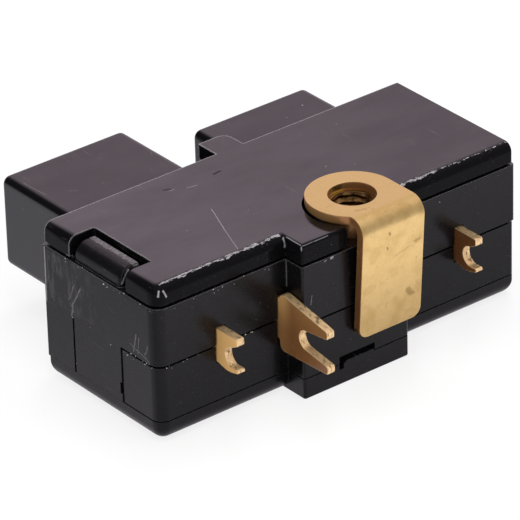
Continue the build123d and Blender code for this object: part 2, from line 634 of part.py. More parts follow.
def large_fork(x):
    """The blade of the common terminal: a long fork whose upper prong slopes down."""
    tip = FRONT - LARGE_FORK_REACH
    top = Z_PARTING + LARGE_FORK_UP
    low = Z_PARTING - LARGE_FORK_DOWN
    tip_top = top - LARGE_PRONG_DROP
    tip_low = low + LARGE_PRONG_RISE
    root = FRONT - LARGE_ROOT_GAP
    neck_top = top - LARGE_ROOT_UP
    neck_low = low + LARGE_ROOT_DOWN
    outline = Polygon((root, top), (tip, tip_top), (tip, tip_low), (root, low), align=None)
    outline = fillet(outline.vertices().group_by(Axis.X)[-1], LARGE_ROOT_RADIUS)
    neck_y = (root - LARGE_ROOT_RADIUS + INNER_FRONT) / 2
    neck_length = INNER_FRONT - root + LARGE_ROOT_RADIUS
    outline += Pos(neck_y, (neck_top + neck_low) / 2) * Rectangle(neck_length, neck_top - neck_low)
    mouth = (tip_top - LARGE_TIP_HEIGHT, tip_low + LARGE_TIP_HEIGHT)
    notch_y = FRONT - LARGE_NOTCH_FROM_WALL - LARGE_NOTCH_RADIUS
    outline -= fork_notch(tip, mouth, notch_y, Z_PARTING - LARGE_NOTCH_DOWN, LARGE_NOTCH_RADIUS)
    tips = outline.vertices().group_by(Axis.X)[0]
    return blade(fillet(tips, LARGE_TIP_RADIUS), x)


def arm(x0, x1, bend, contacts):
    """The flat arm behind the front wall that carries contacts, bent at one end: -1, 1 or 0."""
    part = block(x0, x1, INNER_FRONT, ARM_FACE, Z_FLOOR + ARM_GAP, Z_PARTING - ARM_TOP_GAP)
    if bend:
        part = fillet(upright(part, bend, 1), BEND_RADIUS)
    for x in contacts:
        y0 = INNER_FRONT - OVERSHOOT
        y1 = ARM_FACE + OVERSHOOT
        part -= rod_y(x, CONTACT_Z, SHANK_RADIUS + SHANK_GAP, y0, y1)
    return part


def return_spring(x):
    """The compression spring between the front wall and a button's carrier."""
    radius = (RETURN_COIL - RETURN_WIRE) / 2
    end = RETURN_WIRE / 2 + SPRING_END_GAP
    height = CARRIER_FRONT - INNER_FRONT - 2 * end
    path = Helix(pitch=height / RETURN_TURNS, height=height, radius=radius)
    section = Plane(path @ 0, z_dir=path % 0) * RegularPolygon(RETURN_WIRE / 2, WIRE_SIDES)
    coil = sweep(section, path=path)
    return Pos(x, INNER_FRONT + end, SPRING_Z) * Rot(-90, 0, 0) * coil


def earth_bracket():
    """The bent strip: a ring over the bush, and a leg that hangs in front of the nose."""
    mid = RING_UNDER + SHEET / 2
    leg_mid = LEG_FACE_Y + SHEET / 2
    tip_y = leg_mid + LEG_LENGTH * math.tan(math.radians(LEG_LEAN))
    back = RING_Y + RING_RADIUS + OVERSHOOT
    corners = [(back, mid), (leg_mid, mid), (tip_y, RING_TOP - LEG_LENGTH)]
    path = FilletPolyline(*corners, radius=LEG_BEND + SHEET / 2)
    left = RING_X - RING_RADIUS - OVERSHOOT
    strip = extrude(Plane.YZ.offset(left) * trace(path, SHEET), 2 * (RING_RADIUS + OVERSHOOT))
    bracket = strip & extrude(bracket_plan(), RING_TOP + OVERSHOOT)
    foot = bracket.faces().sort_by(Axis.Z)[0].edges().sort_by(SortBy.LENGTH)[:-2]
    bracket = fillet(foot, LEG_CORNER)
    return bracket - rod_z(RING_X, RING_Y, RING_HOLE / 2, Z_TOP, RING_TOP + OVERSHOOT)


def bracket_plan():
    """The bracket seen from above: the ring runs straight into the leg's right edge."""
    right = RING_X + RING_RADIUS
    left = right - LEG_WIDTH
    meet = RING_Y - math.sqrt(RING_RADIUS**2 - (RING_X - left) ** 2)
    past = LEG_FACE_Y - OVERSHOOT
    turn = math.radians(RING_BLEND)
    far = (RING_X - RING_RADIUS * math.sin(turn), RING_Y + RING_RADIUS * math.cos(turn))
    edge = Polyline((right, RING_Y), (right, past), (left, past), (left, meet))
    plan = make_face(edge + ThreePointArc((left, meet), far, (right, RING_Y)))
    neck = plan.vertices().sort_by_distance((left, meet))[0]
    return fillet(neck, NECK_FILLET)


def threaded_bush():
    """The blind brass bush that takes the fixing screw, with a groove that keys it."""
    low = RING_UNDER - BUSH_LENGTH
    bush = rod_z(RING_X, RING_Y, BUSH_RADIUS, low, RING_UNDER)
    groove_low = low + BUSH_GROOVE_UP
    groove_high = groove_low + BUSH_GROOVE_WIDTH
    groove = rod_z(RING_X, RING_Y, BUSH_RADIUS + OVERSHOOT, groove_low, groove_high)
    bush -= groove - rod_z(RING_X, RING_Y, BUSH_RADIUS - BUSH_GROOVE, low, RING_UNDER)
    return bush - rod_z(RING_X, RING_Y, BUSH_BORE / 2, low + BUSH_BLIND, RING_UNDER + OVERSHOOT)


def contact_group():
    """The three terminals and the contacts riveted to them."""
    half = TERMINAL_THICKNESS / 2
    left_arm = arm(LEFT_TERMINAL_X - half, HORN_LIVE_X + ARM_END, -1, [HORN_LIVE_X])
    right_arm = arm(PASS_LIVE_X - ARM_END, RIGHT_TERMINAL_X + half, 1, [PASS_LIVE_X])
    common_end = min(COMMON_TERMINAL_X - half, HORN_COMMON_X - ARM_END)
    common_arm = arm(common_end, PASS_COMMON_X + ARM_END, 0, [HORN_COMMON_X, PASS_COMMON_X])
    return {
        "left_terminal": small_fork(LEFT_TERMINAL_X) + left_arm,
        "common_terminal": large_fork(COMMON_TERMINAL_X) + common_arm,
        "right_terminal": small_fork(RIGHT_TERMINAL_X) + right_arm,
        "left_contact": fixed_contact(HORN_LIVE_X),
        "common_contacts": Compound([fixed_contact(HORN_COMMON_X), fixed_contact(PASS_COMMON_X)]),
        "right_contact": fixed_contact(PASS_LIVE_X),
    }


def push_group(name, x, width, reach):
    """One push button with everything that moves with it, and its return spring."""
    return {
        name + "_button": button(x, width, reach),
        name + "_carrier": carrier(x, width),
        name + "_bridge": bridge(x),
        name + "_bridge_contacts": moving_contacts(x),
        name + "_return_spring": return_spring(x),
    }


def build_nodes():
    """Every piece of the unit, by name."""
    nodes = {
        "bottom_cover": bottom_cover(),
        "lower_shell": lower_shell(),
        "upper_shell": upper_shell(),
        "top_cover": top_cover(),
        "earth_bracket": earth_bracket(),
        "threaded_bush": threaded_bush(),
    }
    nodes.update(contact_group())
    nodes.update(push_group("horn", HORN_X, HORN_WIDTH, HORN_REACH))
    nodes.update(push_group("pass", PASS_X, PASS_WIDTH, PASS_REACH))
    return nodes


os.makedirs("parts", exist_ok=True)
for node_name, solid in build_nodes().items():
    export_step(solid, os.path.join("parts", node_name + ".step"))
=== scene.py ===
"""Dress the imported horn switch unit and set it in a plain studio.

The unit is a moulded black housing with two push buttons behind it, three forked brass
terminals in front and a brass earth bracket over a threaded bush. Sizes are in millimetres
in the classes below and in metres in every mesh.
"""

from __future__ import annotations

import logging
import math
from dataclasses import dataclass
from enum import Enum
from typing import Callable, Iterable, Sequence, Union

import bmesh
import bpy
from bpy.types import ID, Material, Mesh, Node, NodeSocket, NodeTree, Object
from mathutils import Matrix, Vector


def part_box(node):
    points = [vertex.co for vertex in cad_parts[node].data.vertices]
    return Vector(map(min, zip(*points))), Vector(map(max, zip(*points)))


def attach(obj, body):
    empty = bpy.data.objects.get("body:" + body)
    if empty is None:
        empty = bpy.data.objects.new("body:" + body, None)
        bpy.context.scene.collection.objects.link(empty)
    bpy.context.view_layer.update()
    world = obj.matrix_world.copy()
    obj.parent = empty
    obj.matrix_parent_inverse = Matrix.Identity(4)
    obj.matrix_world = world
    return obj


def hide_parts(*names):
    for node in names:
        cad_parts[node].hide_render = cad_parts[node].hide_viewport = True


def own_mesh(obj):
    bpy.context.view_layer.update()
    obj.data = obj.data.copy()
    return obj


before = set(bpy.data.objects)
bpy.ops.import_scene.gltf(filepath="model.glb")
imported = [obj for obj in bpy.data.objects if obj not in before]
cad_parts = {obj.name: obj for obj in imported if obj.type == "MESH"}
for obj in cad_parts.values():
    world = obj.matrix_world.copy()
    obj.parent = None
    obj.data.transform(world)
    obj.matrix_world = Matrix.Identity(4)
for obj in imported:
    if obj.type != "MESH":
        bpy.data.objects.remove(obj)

LOG = logging.getLogger("horn_switch_unit")
MM = 0.001
SAME_POINT = 2e-6  # metres between two corners that are one
FLAT = math.radians(0.6)  # between two triangles of one flat face
SHARP = 34.0  # degrees between two faces whose edge is rounded

Colour = tuple[float, float, float, float]
Point = tuple[float, float, float]
Socket = NodeSocket
Outputs = bpy.types.bpy_prop_collection
Value = Union[float, Socket]
Where = Union[Point, Socket]
Paint = Union[Colour, Socket]


class Body(Enum):
    """The parts of the unit that move as one."""

    HOUSING = "housing"
    HORN_PUSH = "horn_push"
    PASS_PUSH = "pass_push"


class Slot(Enum):
    """The record's slots named for the dressed pieces."""

    HOUSING = "housing_black"
    BUTTON = "button_black"
    BRASS = "brass"
    TERMINAL = "terminal_brass"
    SPRING = "spring_steel"


def rgb(red: float, green: float, blue: float) -> Colour:
    """Return an opaque colour."""
    return (red, green, blue, 1.0)


# --------------------------------------------------------------------------- node graphs


class Graph:
    """Adds nodes to one tree and joins their sockets."""

    def __init__(self, tree: NodeTree) -> None:
        """Keep the tree that the nodes go into."""
        self.tree = tree

    def node(self, kind: str, inputs: dict | None = None, **settings: object) -> Node:
        """Add a node.

        Args:
            kind: Blender's name for the type of node.
            inputs: Values or sockets for its inputs, by name or index.
            **settings: Attributes of the node itself.

        Returns:
            The new node.
        """
        made = self.tree.nodes.new(kind)
        for name, value in settings.items():
            setattr(made, name, value)
        for key, value in (inputs or {}).items():
            if isinstance(value, Socket):
                self.tree.links.new(value, made.inputs[key])
            else:
                made.inputs[key].default_value = value
        return made

    def math(self, operation: str, first: Value, second: Value = 0.0, third: Value = 0.0) -> Socket:
        """Return what an operation makes of up to three operands."""
        inputs = {0: first, 1: second, 2: third}
        return self.node("ShaderNodeMath", inputs, operation=operation).outputs[0]

    def chain(self, operation: str, values: Iterable[Value]) -> Value:
        """Join values one after another with the same operation.

        Args:
            operation: The operation.
            values: The values, at least one.

        Returns:
            The result.
        """
        result, *others = values
        for other in others:
            result = self.math(operation, result, other)
        return result

    def times(self, *values: Value) -> Value:
        """Multiply values."""
        return self.chain("MULTIPLY", values)

    def most(self, *values: Value) -> Value:
        """Return the largest of some values."""
        return self.chain("MAXIMUM", values)

    def linear(self, value: Value, slope: Value, start: Value) -> Socket:
        """Return the value times the slope, plus the start."""
        return self.math("MULTIPLY_ADD", value, slope, start)

    def invert(self, value: Value) -> Socket:
        """Return 1 less a value."""
        return self.math("SUBTRACT", 1.0, value)

    def ramp(self, value: Value, low: float, high: float, start: float = 0.0, stop: float = 1.0) -> Socket:
        """Turn a value into start at low and stop at high, smoothly, and hold both beyond them."""
        inputs = {"Value": value, "From Min": low, "From Max": high, "To Min": start, "To Max": stop}
        return self.node("ShaderNodeMapRange", inputs, interpolation_type="SMOOTHSTEP").outputs["Result"]

    def window(self, value: Socket, low: float, high: float, soft: float) -> Value:
        """Mask the values between two limits, with a fade of the soft width inside each."""
        rise, fall = self.ramp(value, low, low + soft), self.ramp(value, high - soft, high)
        return self.times(rise, self.invert(fall))

    def blend(self, factor: Value, first: Paint, second: Paint) -> Socket:
        """Mix two colours, the first at a factor of 0 and the second at 1."""
        return self.node("ShaderNodeMix", {0: factor, 6: first, 7: second}, data_type="RGBA").outputs[2]

    def millimetres(self, scale: Point = (1.0, 1.0, 1.0), turn: Point = (0.0, 0.0, 0.0)) -> Socket:
        """Return the object coordinates in millimetres, stretched and turned as asked.

        Args:
            scale: Stretch along each axis.
            turn: Turn about each axis, in degrees.

        Returns:
            The coordinates.
        """
        inputs = {
            "Vector": self.node("ShaderNodeTexCoord").outputs["Object"],
            "Scale": tuple(part / MM for part in scale),
            "Rotation": tuple(math.radians(part) for part in turn),
        }
        return self.node("ShaderNodeMapping", inputs).outputs["Vector"]

    def vector(
        self, operation: str, first: Socket, second: Where = (0.0, 0.0, 0.0), scale: Value = 1.0
    ) -> Socket:
        """Return the vector that an operation makes of one or two others."""
        inputs = {0: first, 1: second, 3: scale}
        return self.node("ShaderNodeVectorMath", inputs, operation=operation).outputs["Vector"]

    def dot(self, first: Where, second: Where) -> Socket:
        """Return the dot product of two vectors."""
        made = self.node("ShaderNodeVectorMath", {0: first, 1: second}, operation="DOT_PRODUCT")
        return made.outputs["Value"]

    def axes(self, where: Socket | None = None) -> Outputs:
        """Return a vector's parts, or those of the object coordinates in millimetres."""
        return self.node("ShaderNodeSeparateXYZ", {"Vector": where or self.millimetres()}).outputs

    def noise(self, where: Socket, scale: Value, detail: float = 3.0, rough: float = 0.5) -> Socket:
        """Return a noise texture's value at some coordinates."""
        inputs = {"Vector": where, "Scale": scale, "Detail": detail, "Roughness": rough}
        return self.node("ShaderNodeTexNoise", inputs).outputs[0]

    def shaken(self, where: Socket, scale: float, detail: float) -> Socket:
        """Return a noise texture's colour at some coordinates."""
        inputs = {"Vector": where, "Scale": scale, "Detail": detail}
        return self.node("ShaderNodeTexNoise", inputs).outputs["Color"]

    def relief(self, height: Value, depth: float, strength: float = 1.0) -> Socket:
        """Return a normal bent by a height, with its depth in millimetres."""
        inputs = {"Strength": strength, "Distance": depth * MM, "Height": height}
        return self.node("ShaderNodeBump", inputs).outputs["Normal"]

    def end(self, node: Node, **values: Socket) -> NodeTree:
        """Put values out of a group.

        Args:
            node: The group's output node.
            **values: The values, by the names of its sockets.

        Returns:
            The group.
        """
        for label, value in values.items():
            self.tree.links.new(value, node.inputs[label])
        return self.tree

    def surface(self, inputs: dict) -> None:
        """End a material with one shader that has these inputs."""
        shader = self.node("ShaderNodeBsdfPrincipled", inputs).outputs["BSDF"]
        self.node("ShaderNodeOutputMaterial", {"Surface": shader})


def open_material(name: str) -> tuple[Material, Graph]:
    """Make a material without nodes.

    Args:
        name: The material's name.

    Returns:
        The material and the graph of its nodes.
    """
    made = bpy.data.materials.new(name)
    made.use_nodes = True
    made.node_tree.nodes.clear()
    return made, Graph(made.node_tree)


class ShaderGroups:
    """The effects that several finishes share, each built once as a node group."""

    def __init__(self) -> None:
        """Build every group."""
        self.edge_wear = self._edge_wear()
        self.grain = self._grain()
        self.dust = self._dust()
        self.scratches = self._scratches()
        self.stroke = self._stroke()
        self.sides = self._sides()

    @staticmethod
    def _start(
        name: str, inputs: dict[str, object], outputs: Sequence[str]
    ) -> tuple[Graph, dict[str, Socket], Node]:
        """Open a group with sockets for numbers and points.

        Args:
            name: The group's name.
            inputs: Its inputs and their defaults.
            outputs: Its outputs.

        Returns:
            The graph, the input sockets by name, and the output node.
        """
        tree = bpy.data.node_groups.new(name, "ShaderNodeTree")
        for label, value in inputs.items():
            kind = "NodeSocketVector" if isinstance(value, tuple) else "NodeSocketFloat"
            made = tree.interface.new_socket(label, in_out="INPUT", socket_type=kind)
            made.default_value = value
        for label in outputs:
            tree.interface.new_socket(label, in_out="OUTPUT", socket_type="NodeSocketFloat")
        graph = Graph(tree)
        start = graph.node("NodeGroupInput")
        return graph, {label: start.outputs[label] for label in inputs}, graph.node("NodeGroupOutput")

    def _edge_wear(self) -> NodeTree:
        """Build two masks of the edges: worn ones broken up by noise, and all of them.

        Returns:
            The group.
        """
        graph, given, end = self._start("edge wear", {"Reach": 0.12, "Break Up": 2.0}, ["Mask", "Crest"])
        rounded = graph.node("ShaderNodeBevel", {"Radius": graph.times(given["Reach"], MM)}, samples=6)
        plain = graph.node("ShaderNodeNewGeometry").outputs["Normal"]
        edge = graph.ramp(graph.invert(graph.dot(rounded.outputs["Normal"], plain)), 0.01, 0.12)
        broken = graph.ramp(graph.noise(graph.millimetres(), given["Break Up"], 4.0, 0.65), 0.42, 0.62)
        return graph.end(end, Mask=graph.times(edge, broken), Crest=edge)

    def _stroke(self) -> NodeTree:
        """Build a mask of one short stroke between two points, in millimetres.

        Returns:
            The group.
        """
        sockets = {"From": (0.0, 0.0, 0.0), "To": (0.0, 0.0, 1.0), "Width": 0.1, "Wander": 0.1}
        graph, given, end = self._start("stroke", sockets, ["Mask"])
        where = graph.millimetres()
        middle = graph.vector("SUBTRACT", graph.shaken(where, 1.6, 3.0), (0.5, 0.5, 0.5))
        where = graph.vector("ADD", where, graph.vector("SCALE", middle, scale=given["Wander"]))
        along = graph.vector("SUBTRACT", given["To"], given["From"])
        offset = graph.vector("SUBTRACT", where, given["From"])
        share = graph.math("DIVIDE", graph.dot(offset, along), graph.dot(along, along))
        share = graph.math("MINIMUM", graph.most(share, 0.0), 1.0)
        gap = graph.vector("SUBTRACT", offset, graph.vector("SCALE", along, scale=share))
        distance = graph.math("SQRT", graph.dot(gap, gap))
        fade = graph.ramp(distance, graph.times(given["Width"], 0.4), given["Width"])
        return graph.end(end, Mask=graph.invert(fade))

    def _sides(self) -> NodeTree:
        """Build masks of the faces that look up, along the unit, and at all to one end of it.

        Returns:
            The group.
        """
        graph, _, end = self._start("sides", {}, ["Top", "End", "Cut"])
        parts = graph.axes(graph.node("ShaderNodeTexCoord").outputs["Normal"])
        across = graph.math("ABSOLUTE", parts["X"])
        masks = {"End": graph.ramp(across, 0.8, 0.98), "Cut": graph.ramp(across, 0.15, 0.45)}
        return graph.end(end, Top=graph.ramp(parts["Z"], 0.88, 0.995), **masks)

    def _grain(self) -> NodeTree:
        """Build a moulding's skin: a fine grain, and slow waves where the walls sank.

        Returns:
            The group.
        """
        graph, given, end = self._start("moulded grain", {"Fine": 9.0, "Waves": 0.22}, ["Height", "Patch"])
        where = graph.millimetres()
        fine = graph.noise(where, given["Fine"], 4.0, 0.6)
        slow = graph.noise(where, given["Waves"], 2.0, 0.5)
        patch = graph.noise(where, graph.times(given["Waves"], 4.0), 5.0, 0.62)
        height = graph.linear(slow, 6.0, graph.times(fine, 0.35))
        return graph.end(end, Height=height, Patch=graph.ramp(patch, 0.38, 0.66))

    def _dust(self) -> NodeTree:
        """Build a mask of dust specks that lie in a few loose clusters.

        Returns:
            The group.
        """
        graph, given, end = self._start("dust", {"Density": 1.4, "Size": 0.07, "Cover": 0.64}, ["Mask"])
        where = graph.millimetres()
        moved = graph.vector("ADD", where, graph.shaken(where, 2.0, 2.0))
        inputs = {"Vector": moved, "Scale": given["Density"], "Randomness": 1.0}
        cells = graph.node("ShaderNodeTexVoronoi", inputs, feature="F1")
        near = graph.math("LESS_THAN", cells.outputs["Distance"], given["Size"])
        chosen = graph.math("GREATER_THAN", graph.noise(where, 0.9, 3.0, 0.6), given["Cover"])
        return graph.end(end, Mask=graph.times(near, chosen))

    def _scratches(self) -> NodeTree:
        """Build a mask of fine scratches in two directions.

        Returns:
            The group.
        """
        graph, given, end = self._start("scratches", {"Density": 1.0, "Amount": 0.5}, ["Mask"])
        masks = []
        for turn, stretch in ((31.0, 0.05), (-48.0, 0.08)):
            where = graph.millimetres(scale=(1.0, stretch, 1.0), turn=(20.0, 12.0, turn))
            lines = graph.noise(where, graph.times(given["Density"], 5.0), 2.0, 0.4)
            masks.append(graph.ramp(lines, 0.705, 0.735))
        gate = graph.ramp(graph.noise(graph.millimetres(), 0.35, 2.0, 0.5), 0.45, 0.62)
        return graph.end(end, Mask=graph.times(graph.most(*masks), gate, given["Amount"]))


def use_group(graph: Graph, tree: NodeTree, **values: object) -> Outputs:
    """Place a shared group in a material, with underscores for the spaces in its inputs' names."""
    inputs = {name.replace("_", " "): value for name, value in values.items()}
    return graph.node("ShaderNodeGroup", inputs, node_tree=tree).outputs


# --------------------------------------------------------------------------- finishes


@dataclass(frozen=True)
class Stroke:
    """One small mark between two points, in millimetres."""

    start: Point
    stop: Point
    width: float
    strength: float = 1.0
    wander: float = 0.15


def draw_strokes(graph: Graph, groups: ShaderGroups, strokes: Iterable[Stroke]) -> Value:
    """Mask a set of strokes.

    Args:
        graph: The material's graph.
        groups: The shared groups.
        strokes: The strokes.

    Returns:
        The mask.
    """
    mask = 0.0
    for stroke in strokes:
        ends = {"From": stroke.start, "To": stroke.stop}
        drawn = use_group(graph, groups.stroke, Width=stroke.width, Wander=stroke.wander, **ends)
        mask = graph.most(mask, graph.times(drawn["Mask"], stroke.strength))
    return mask


Marker = Callable[[Graph, ShaderGroups, Socket], Value]


@dataclass(frozen=True)
class BlackPlastic:
    """Moulded black plastic with a faint grain, worn edges, dust, fine scratches, painted highlights and a
    painted sheen.
    """

    name: str
    base: Colour
    rubbed_and_highlight: Colour
    dusty: Colour
    gloss_rough: float = 0.16
    dull_rough: float = 0.22
    side_level: float = 0.2
    end_coat: float = 0.194
    top_coat: float = 0.486
    coat_ior: float = 1.5
    top_slope: float = 0.0
    grain: float = 0.006
    fine: float = 9.0
    wear: float = 0.25
    crest: float = 0.12
    dust_size: float = 0.07
    dust_cover: float = 0.64
    scratch: float = 0.35
    light_marks: Marker | None = None
    dark_marks: tuple[Stroke, ...] = ()
    ridges: float = 0.0

    def build(self, groups: ShaderGroups) -> Material:
        """Build the material.

        Args:
            groups: The shared groups.

        Returns:
            The material.
        """
        made, graph = open_material(self.name)
        skin = use_group(graph, groups.grain, Fine=self.fine)
        edges = use_group(graph, groups.edge_wear, Reach=self.crest, Break_Up=2.4)
        specks = use_group(graph, groups.dust, Size=self.dust_size, Cover=self.dust_cover)["Mask"]
        lines = use_group(graph, groups.scratches, Amount=self.scratch)["Mask"]
        rub = graph.times(edges["Mask"], self.wear)
        colour = graph.blend(graph.most(rub, graph.times(lines, 0.25)), self.base, self.rubbed_and_highlight)
        rough = graph.ramp(skin["Patch"], 0.0, 1.0, self.gloss_rough, self.dull_rough)
        rough = graph.linear(lines, 0.15, graph.linear(rub, 0.25, rough))
        height = skin["Height"]
        if self.light_marks:
            mark = self.light_marks(graph, groups, edges["Crest"])
            # The light marks are painted highlights and glints, with some real scuffs and scratches, in the
            # light colour of the worn edges.
            colour = graph.blend(mark, colour, self.rubbed_and_highlight)
            rough = graph.linear(mark, 0.3, rough)
            height = graph.linear(mark, self.ridges, height)
        graph.surface(
            {
                "Base Color": graph.blend(specks, colour, self.dusty),
                "Roughness": graph.most(rough, graph.times(specks, 0.8)),
                "Specular IOR Level": self.side_level,
                "Coat Weight": self._coat(graph, groups),
                "Coat Roughness": (self.gloss_rough + self.dull_rough) / 2,
                "Coat IOR": self.coat_ior,
                "Normal": graph.relief(height, self.grain),
            }
        )
        return made

    def _coat(self, graph: Graph, groups: ShaderGroups) -> Value:
        """Coat the skin's ends and top more than its sides, a painted sheen set by which way each face
        looks.

        Args:
            graph: The material's graph.
            groups: The shared groups.

        Returns:
            The coat's weight.
        """
        faces = use_group(graph, groups.sides)
        # Painted sheen on the top: it fades towards the right end where a slope is given, and varies in slow
        # clouds.
        slope = graph.linear(graph.axes()["X"], -self.top_slope, 1.0)
        clouds = graph.noise(graph.millimetres(scale=(0.12, 0.3, 1.0), turn=(0, 0, 25)), 1.0, 4.0, 0.6)
        slope = graph.times(slope, graph.ramp(clouds, 0.3, 0.7, 0.9, 1.1))
        weight = graph.linear(faces["End"], self.end_coat, graph.times(faces["Top"], slope, self.top_coat))
        # The dark marks take most of the coat away: painted shadows along the shell's seams, and dents on
        # the lid.
        hidden = draw_strokes(graph, groups, self.dark_marks)
        return graph.times(weight, graph.linear(hidden, -0.95, 1.0))


# Where the mouldings' faces lie, in millimetres.
LEFT_END = -20.15
NOSE_FRONT = -10.23
LID_TOP = 15.3
BUTTON_TOP = 13.1
LEDGE = 13.05  # the top of the upper shell's end wall

# The first stroke, down the rear left edge, and the one in the nose's concave corner are painted highlights;
# the rest are scuffs, scratches, light lines and bright specks.
SHELL_STROKES = (
    Stroke((LEFT_END, 7.75, 13.0), (LEFT_END, 7.8, 7.6), 0.1, 0.75, 0.12),
    Stroke((LEFT_END, 2.7, 10.9), (LEFT_END, 3.9, 8.9), 0.11, 0.3, 0.35),
    Stroke((LEFT_END, 3.9, 8.9), (LEFT_END, 4.1, 7.7), 0.11, 0.3, 0.35),
    Stroke((LEFT_END, 3.5, 11.1), (LEFT_END, 4.5, 9.1), 0.09, 0.25, 0.4),
    Stroke((LEFT_END, 4.5, 9.1), (LEFT_END, 3.6, 7.9), 0.09, 0.25, 0.4),
    Stroke((LEFT_END, -5.1, 9.8), (LEFT_END, -4.7, 8.0), 0.09, 0.3, 0.3),
    Stroke((LEFT_END, -5.5, 9.6), (LEFT_END, -5.3, 8.1), 0.07, 0.25, 0.3),
    Stroke((LEFT_END, -6.7, 9.3), (LEFT_END, -6.3, 8.3), 0.08, 0.25, 0.3),
    Stroke((LEFT_END, -4.2, 8.6), (LEFT_END, -6.9, 7.85), 0.06, 0.35, 0.2),
    Stroke((-6.03, -8.1, 13.0), (-6.03, -8.1, 10.6), 0.1, 0.35, 0.05),
    Stroke((-18.9, -2.75, 14.7), (-19.65, -2.75, 13.6), 0.12, 0.7, 0.3),
    Stroke((-2.75, NOSE_FRONT, 13.02), (-2.6, NOSE_FRONT, 13.05), 0.15, 1.6, 0.1),
    Stroke((-3.5, NOSE_FRONT, 12.95), (-3.3, NOSE_FRONT, 13.0), 0.07, 0.7, 0.1),
    Stroke((-5.15, NOSE_FRONT, 9.3), (-4.95, NOSE_FRONT, 10.1), 0.05, 0.6, 0.2),
)

SHELL_SHADOWS = (
    Stroke((-18.6, -2.6, 14.9), (-18.6, 3.7, 14.9), 0.55, 1.0, 0.5),
    Stroke((LEFT_END, 7.4, LEDGE), (LEFT_END, 4.0, LEDGE), 0.3, 1.0, 0.8),
    Stroke((LEFT_END, -3.0, LEDGE), (LEFT_END, -7.0, LEDGE), 0.2, 0.8, 0.5),
)

# Painted glints at the front left corner, painted highlights in the concave corner and along the nose's
# edges, a long scratch in two strokes, a faint light mark, and the painted highlight below the left dent.
LID_STROKES = (
    Stroke((-19.36, -7.56, 14.8), (-19.5, -7.63, 14.35), 0.12, 1.0, 0.05),
    Stroke((-19.02, -7.72, 14.75), (-18.8, -7.85, 14.2), 0.12, 1.0, 0.05),
    Stroke((-5.9, -7.6, 15.2), (-5.95, -7.86, 14.3), 0.12, 0.8, 0.05),
    Stroke((-5.75, -7.9, 15.2), (-5.75, -9.8, 15.2), 0.07, 0.6, 0.08),
    Stroke((-5.7, -9.98, 15.17), (-2.9, -9.98, 15.17), 0.06, 0.45, 0.12),
    Stroke((-5.83, -9.98, 15.1), (-5.85, -10.03, 14.75), 0.09, 0.8, 0.05),
    Stroke((-7.6, 0.15, LID_TOP), (-9.05, -3.5, LID_TOP), 0.055, 0.55, 0.1),
    Stroke((-9.05, -3.5, LID_TOP), (-10.3, -6.9, LID_TOP), 0.055, 0.4, 0.1),
    Stroke((-6.8, 4.6, LID_TOP), (-5.9, 4.45, LID_TOP), 0.08, 0.3, 0.1),
    Stroke((-8.3, 5.2, LID_TOP), (-7.9, 5.15, LID_TOP), 0.07, 0.35, 0.1),
)

BUTTON_STROKES = (
    Stroke((-14.75, 18.1, BUTTON_TOP), (-14.55, 15.1, BUTTON_TOP), 0.055, 0.22, 0.1),
    Stroke((-12.9, 14.6, BUTTON_TOP), (-12.0, 13.8, BUTTON_TOP), 0.05, 0.15, 0.3),
)

LID_DENTS = (
    Stroke((-3.5, 5.05, LID_TOP), (-2.7, 5.15, LID_TOP), 0.16, 0.9, 0.2),
    Stroke((-8.6, 5.6, LID_TOP), (-8.1, 5.4, LID_TOP), 0.15, 0.9, 0.2),
)


def shell_marks(graph: Graph, groups: ShaderGroups, crest: Socket) -> Value:
    """Mask the staked crest of the latch hook, the scuffs on the left end, and painted highlights along the
    top rims, the rear left edge and the nose's corner.

    Args:
        graph: The material's graph.
        groups: The shared groups.
        crest: The mask of the mouldings' edges.

    Returns:
        The mask.
    """
    at = graph.axes()
    hatch = graph.noise(graph.millimetres(scale=(1.4, 6.0, 1.4), turn=(0, 0, 24)), 1.8, 3.0, 0.6)
    ragged = graph.linear(graph.noise(graph.millimetres(), 2.6, 3.0, 0.6), 0.5, at["X"])
    on_hook = graph.times(graph.window(ragged, -18.15, -17.2, 0.12), graph.ramp(at["Z"], 14.4, 14.6))
    staked = graph.times(on_hook, graph.ramp(hatch, 0.38, 0.62, 0.05, 0.4))
    folds = graph.noise(graph.millimetres(scale=(1.0, 2.2, 0.5), turn=(14, 0, 0)), 0.8, 5.0, 0.7)
    folds = graph.times(graph.ramp(folds, 0.48, 0.62), graph.ramp(at["Y"], -2.0, 6.0), 0.1)
    end = graph.math("LESS_THAN", at["X"], LEFT_END + 0.15)
    scuffs = graph.times(folds, end, graph.window(at["Z"], 7.7, 13.3, 0.6))
    # Painted highlights: a line along the top rim and one down the rear left edge.
    rim = graph.times(crest, graph.ramp(at["Z"], 12.95, 13.1), 0.3)
    corner = graph.math("LESS_THAN", at["X"], LEFT_END + 0.25)
    rear_edge_highlight = graph.times(crest, corner, graph.ramp(at["Y"], 7.6, 7.8), graph.ramp(at["Z"], 6.5, 8.0), 0.7)
    return graph.most(staked, scuffs, rim, rear_edge_highlight, draw_strokes(graph, groups, SHELL_STROKES))


def button_marks(graph: Graph, groups: ShaderGroups, _: Socket) -> Value:
    """Mask the faint scratches on the button."""
    return draw_strokes(graph, groups, BUTTON_STROKES)


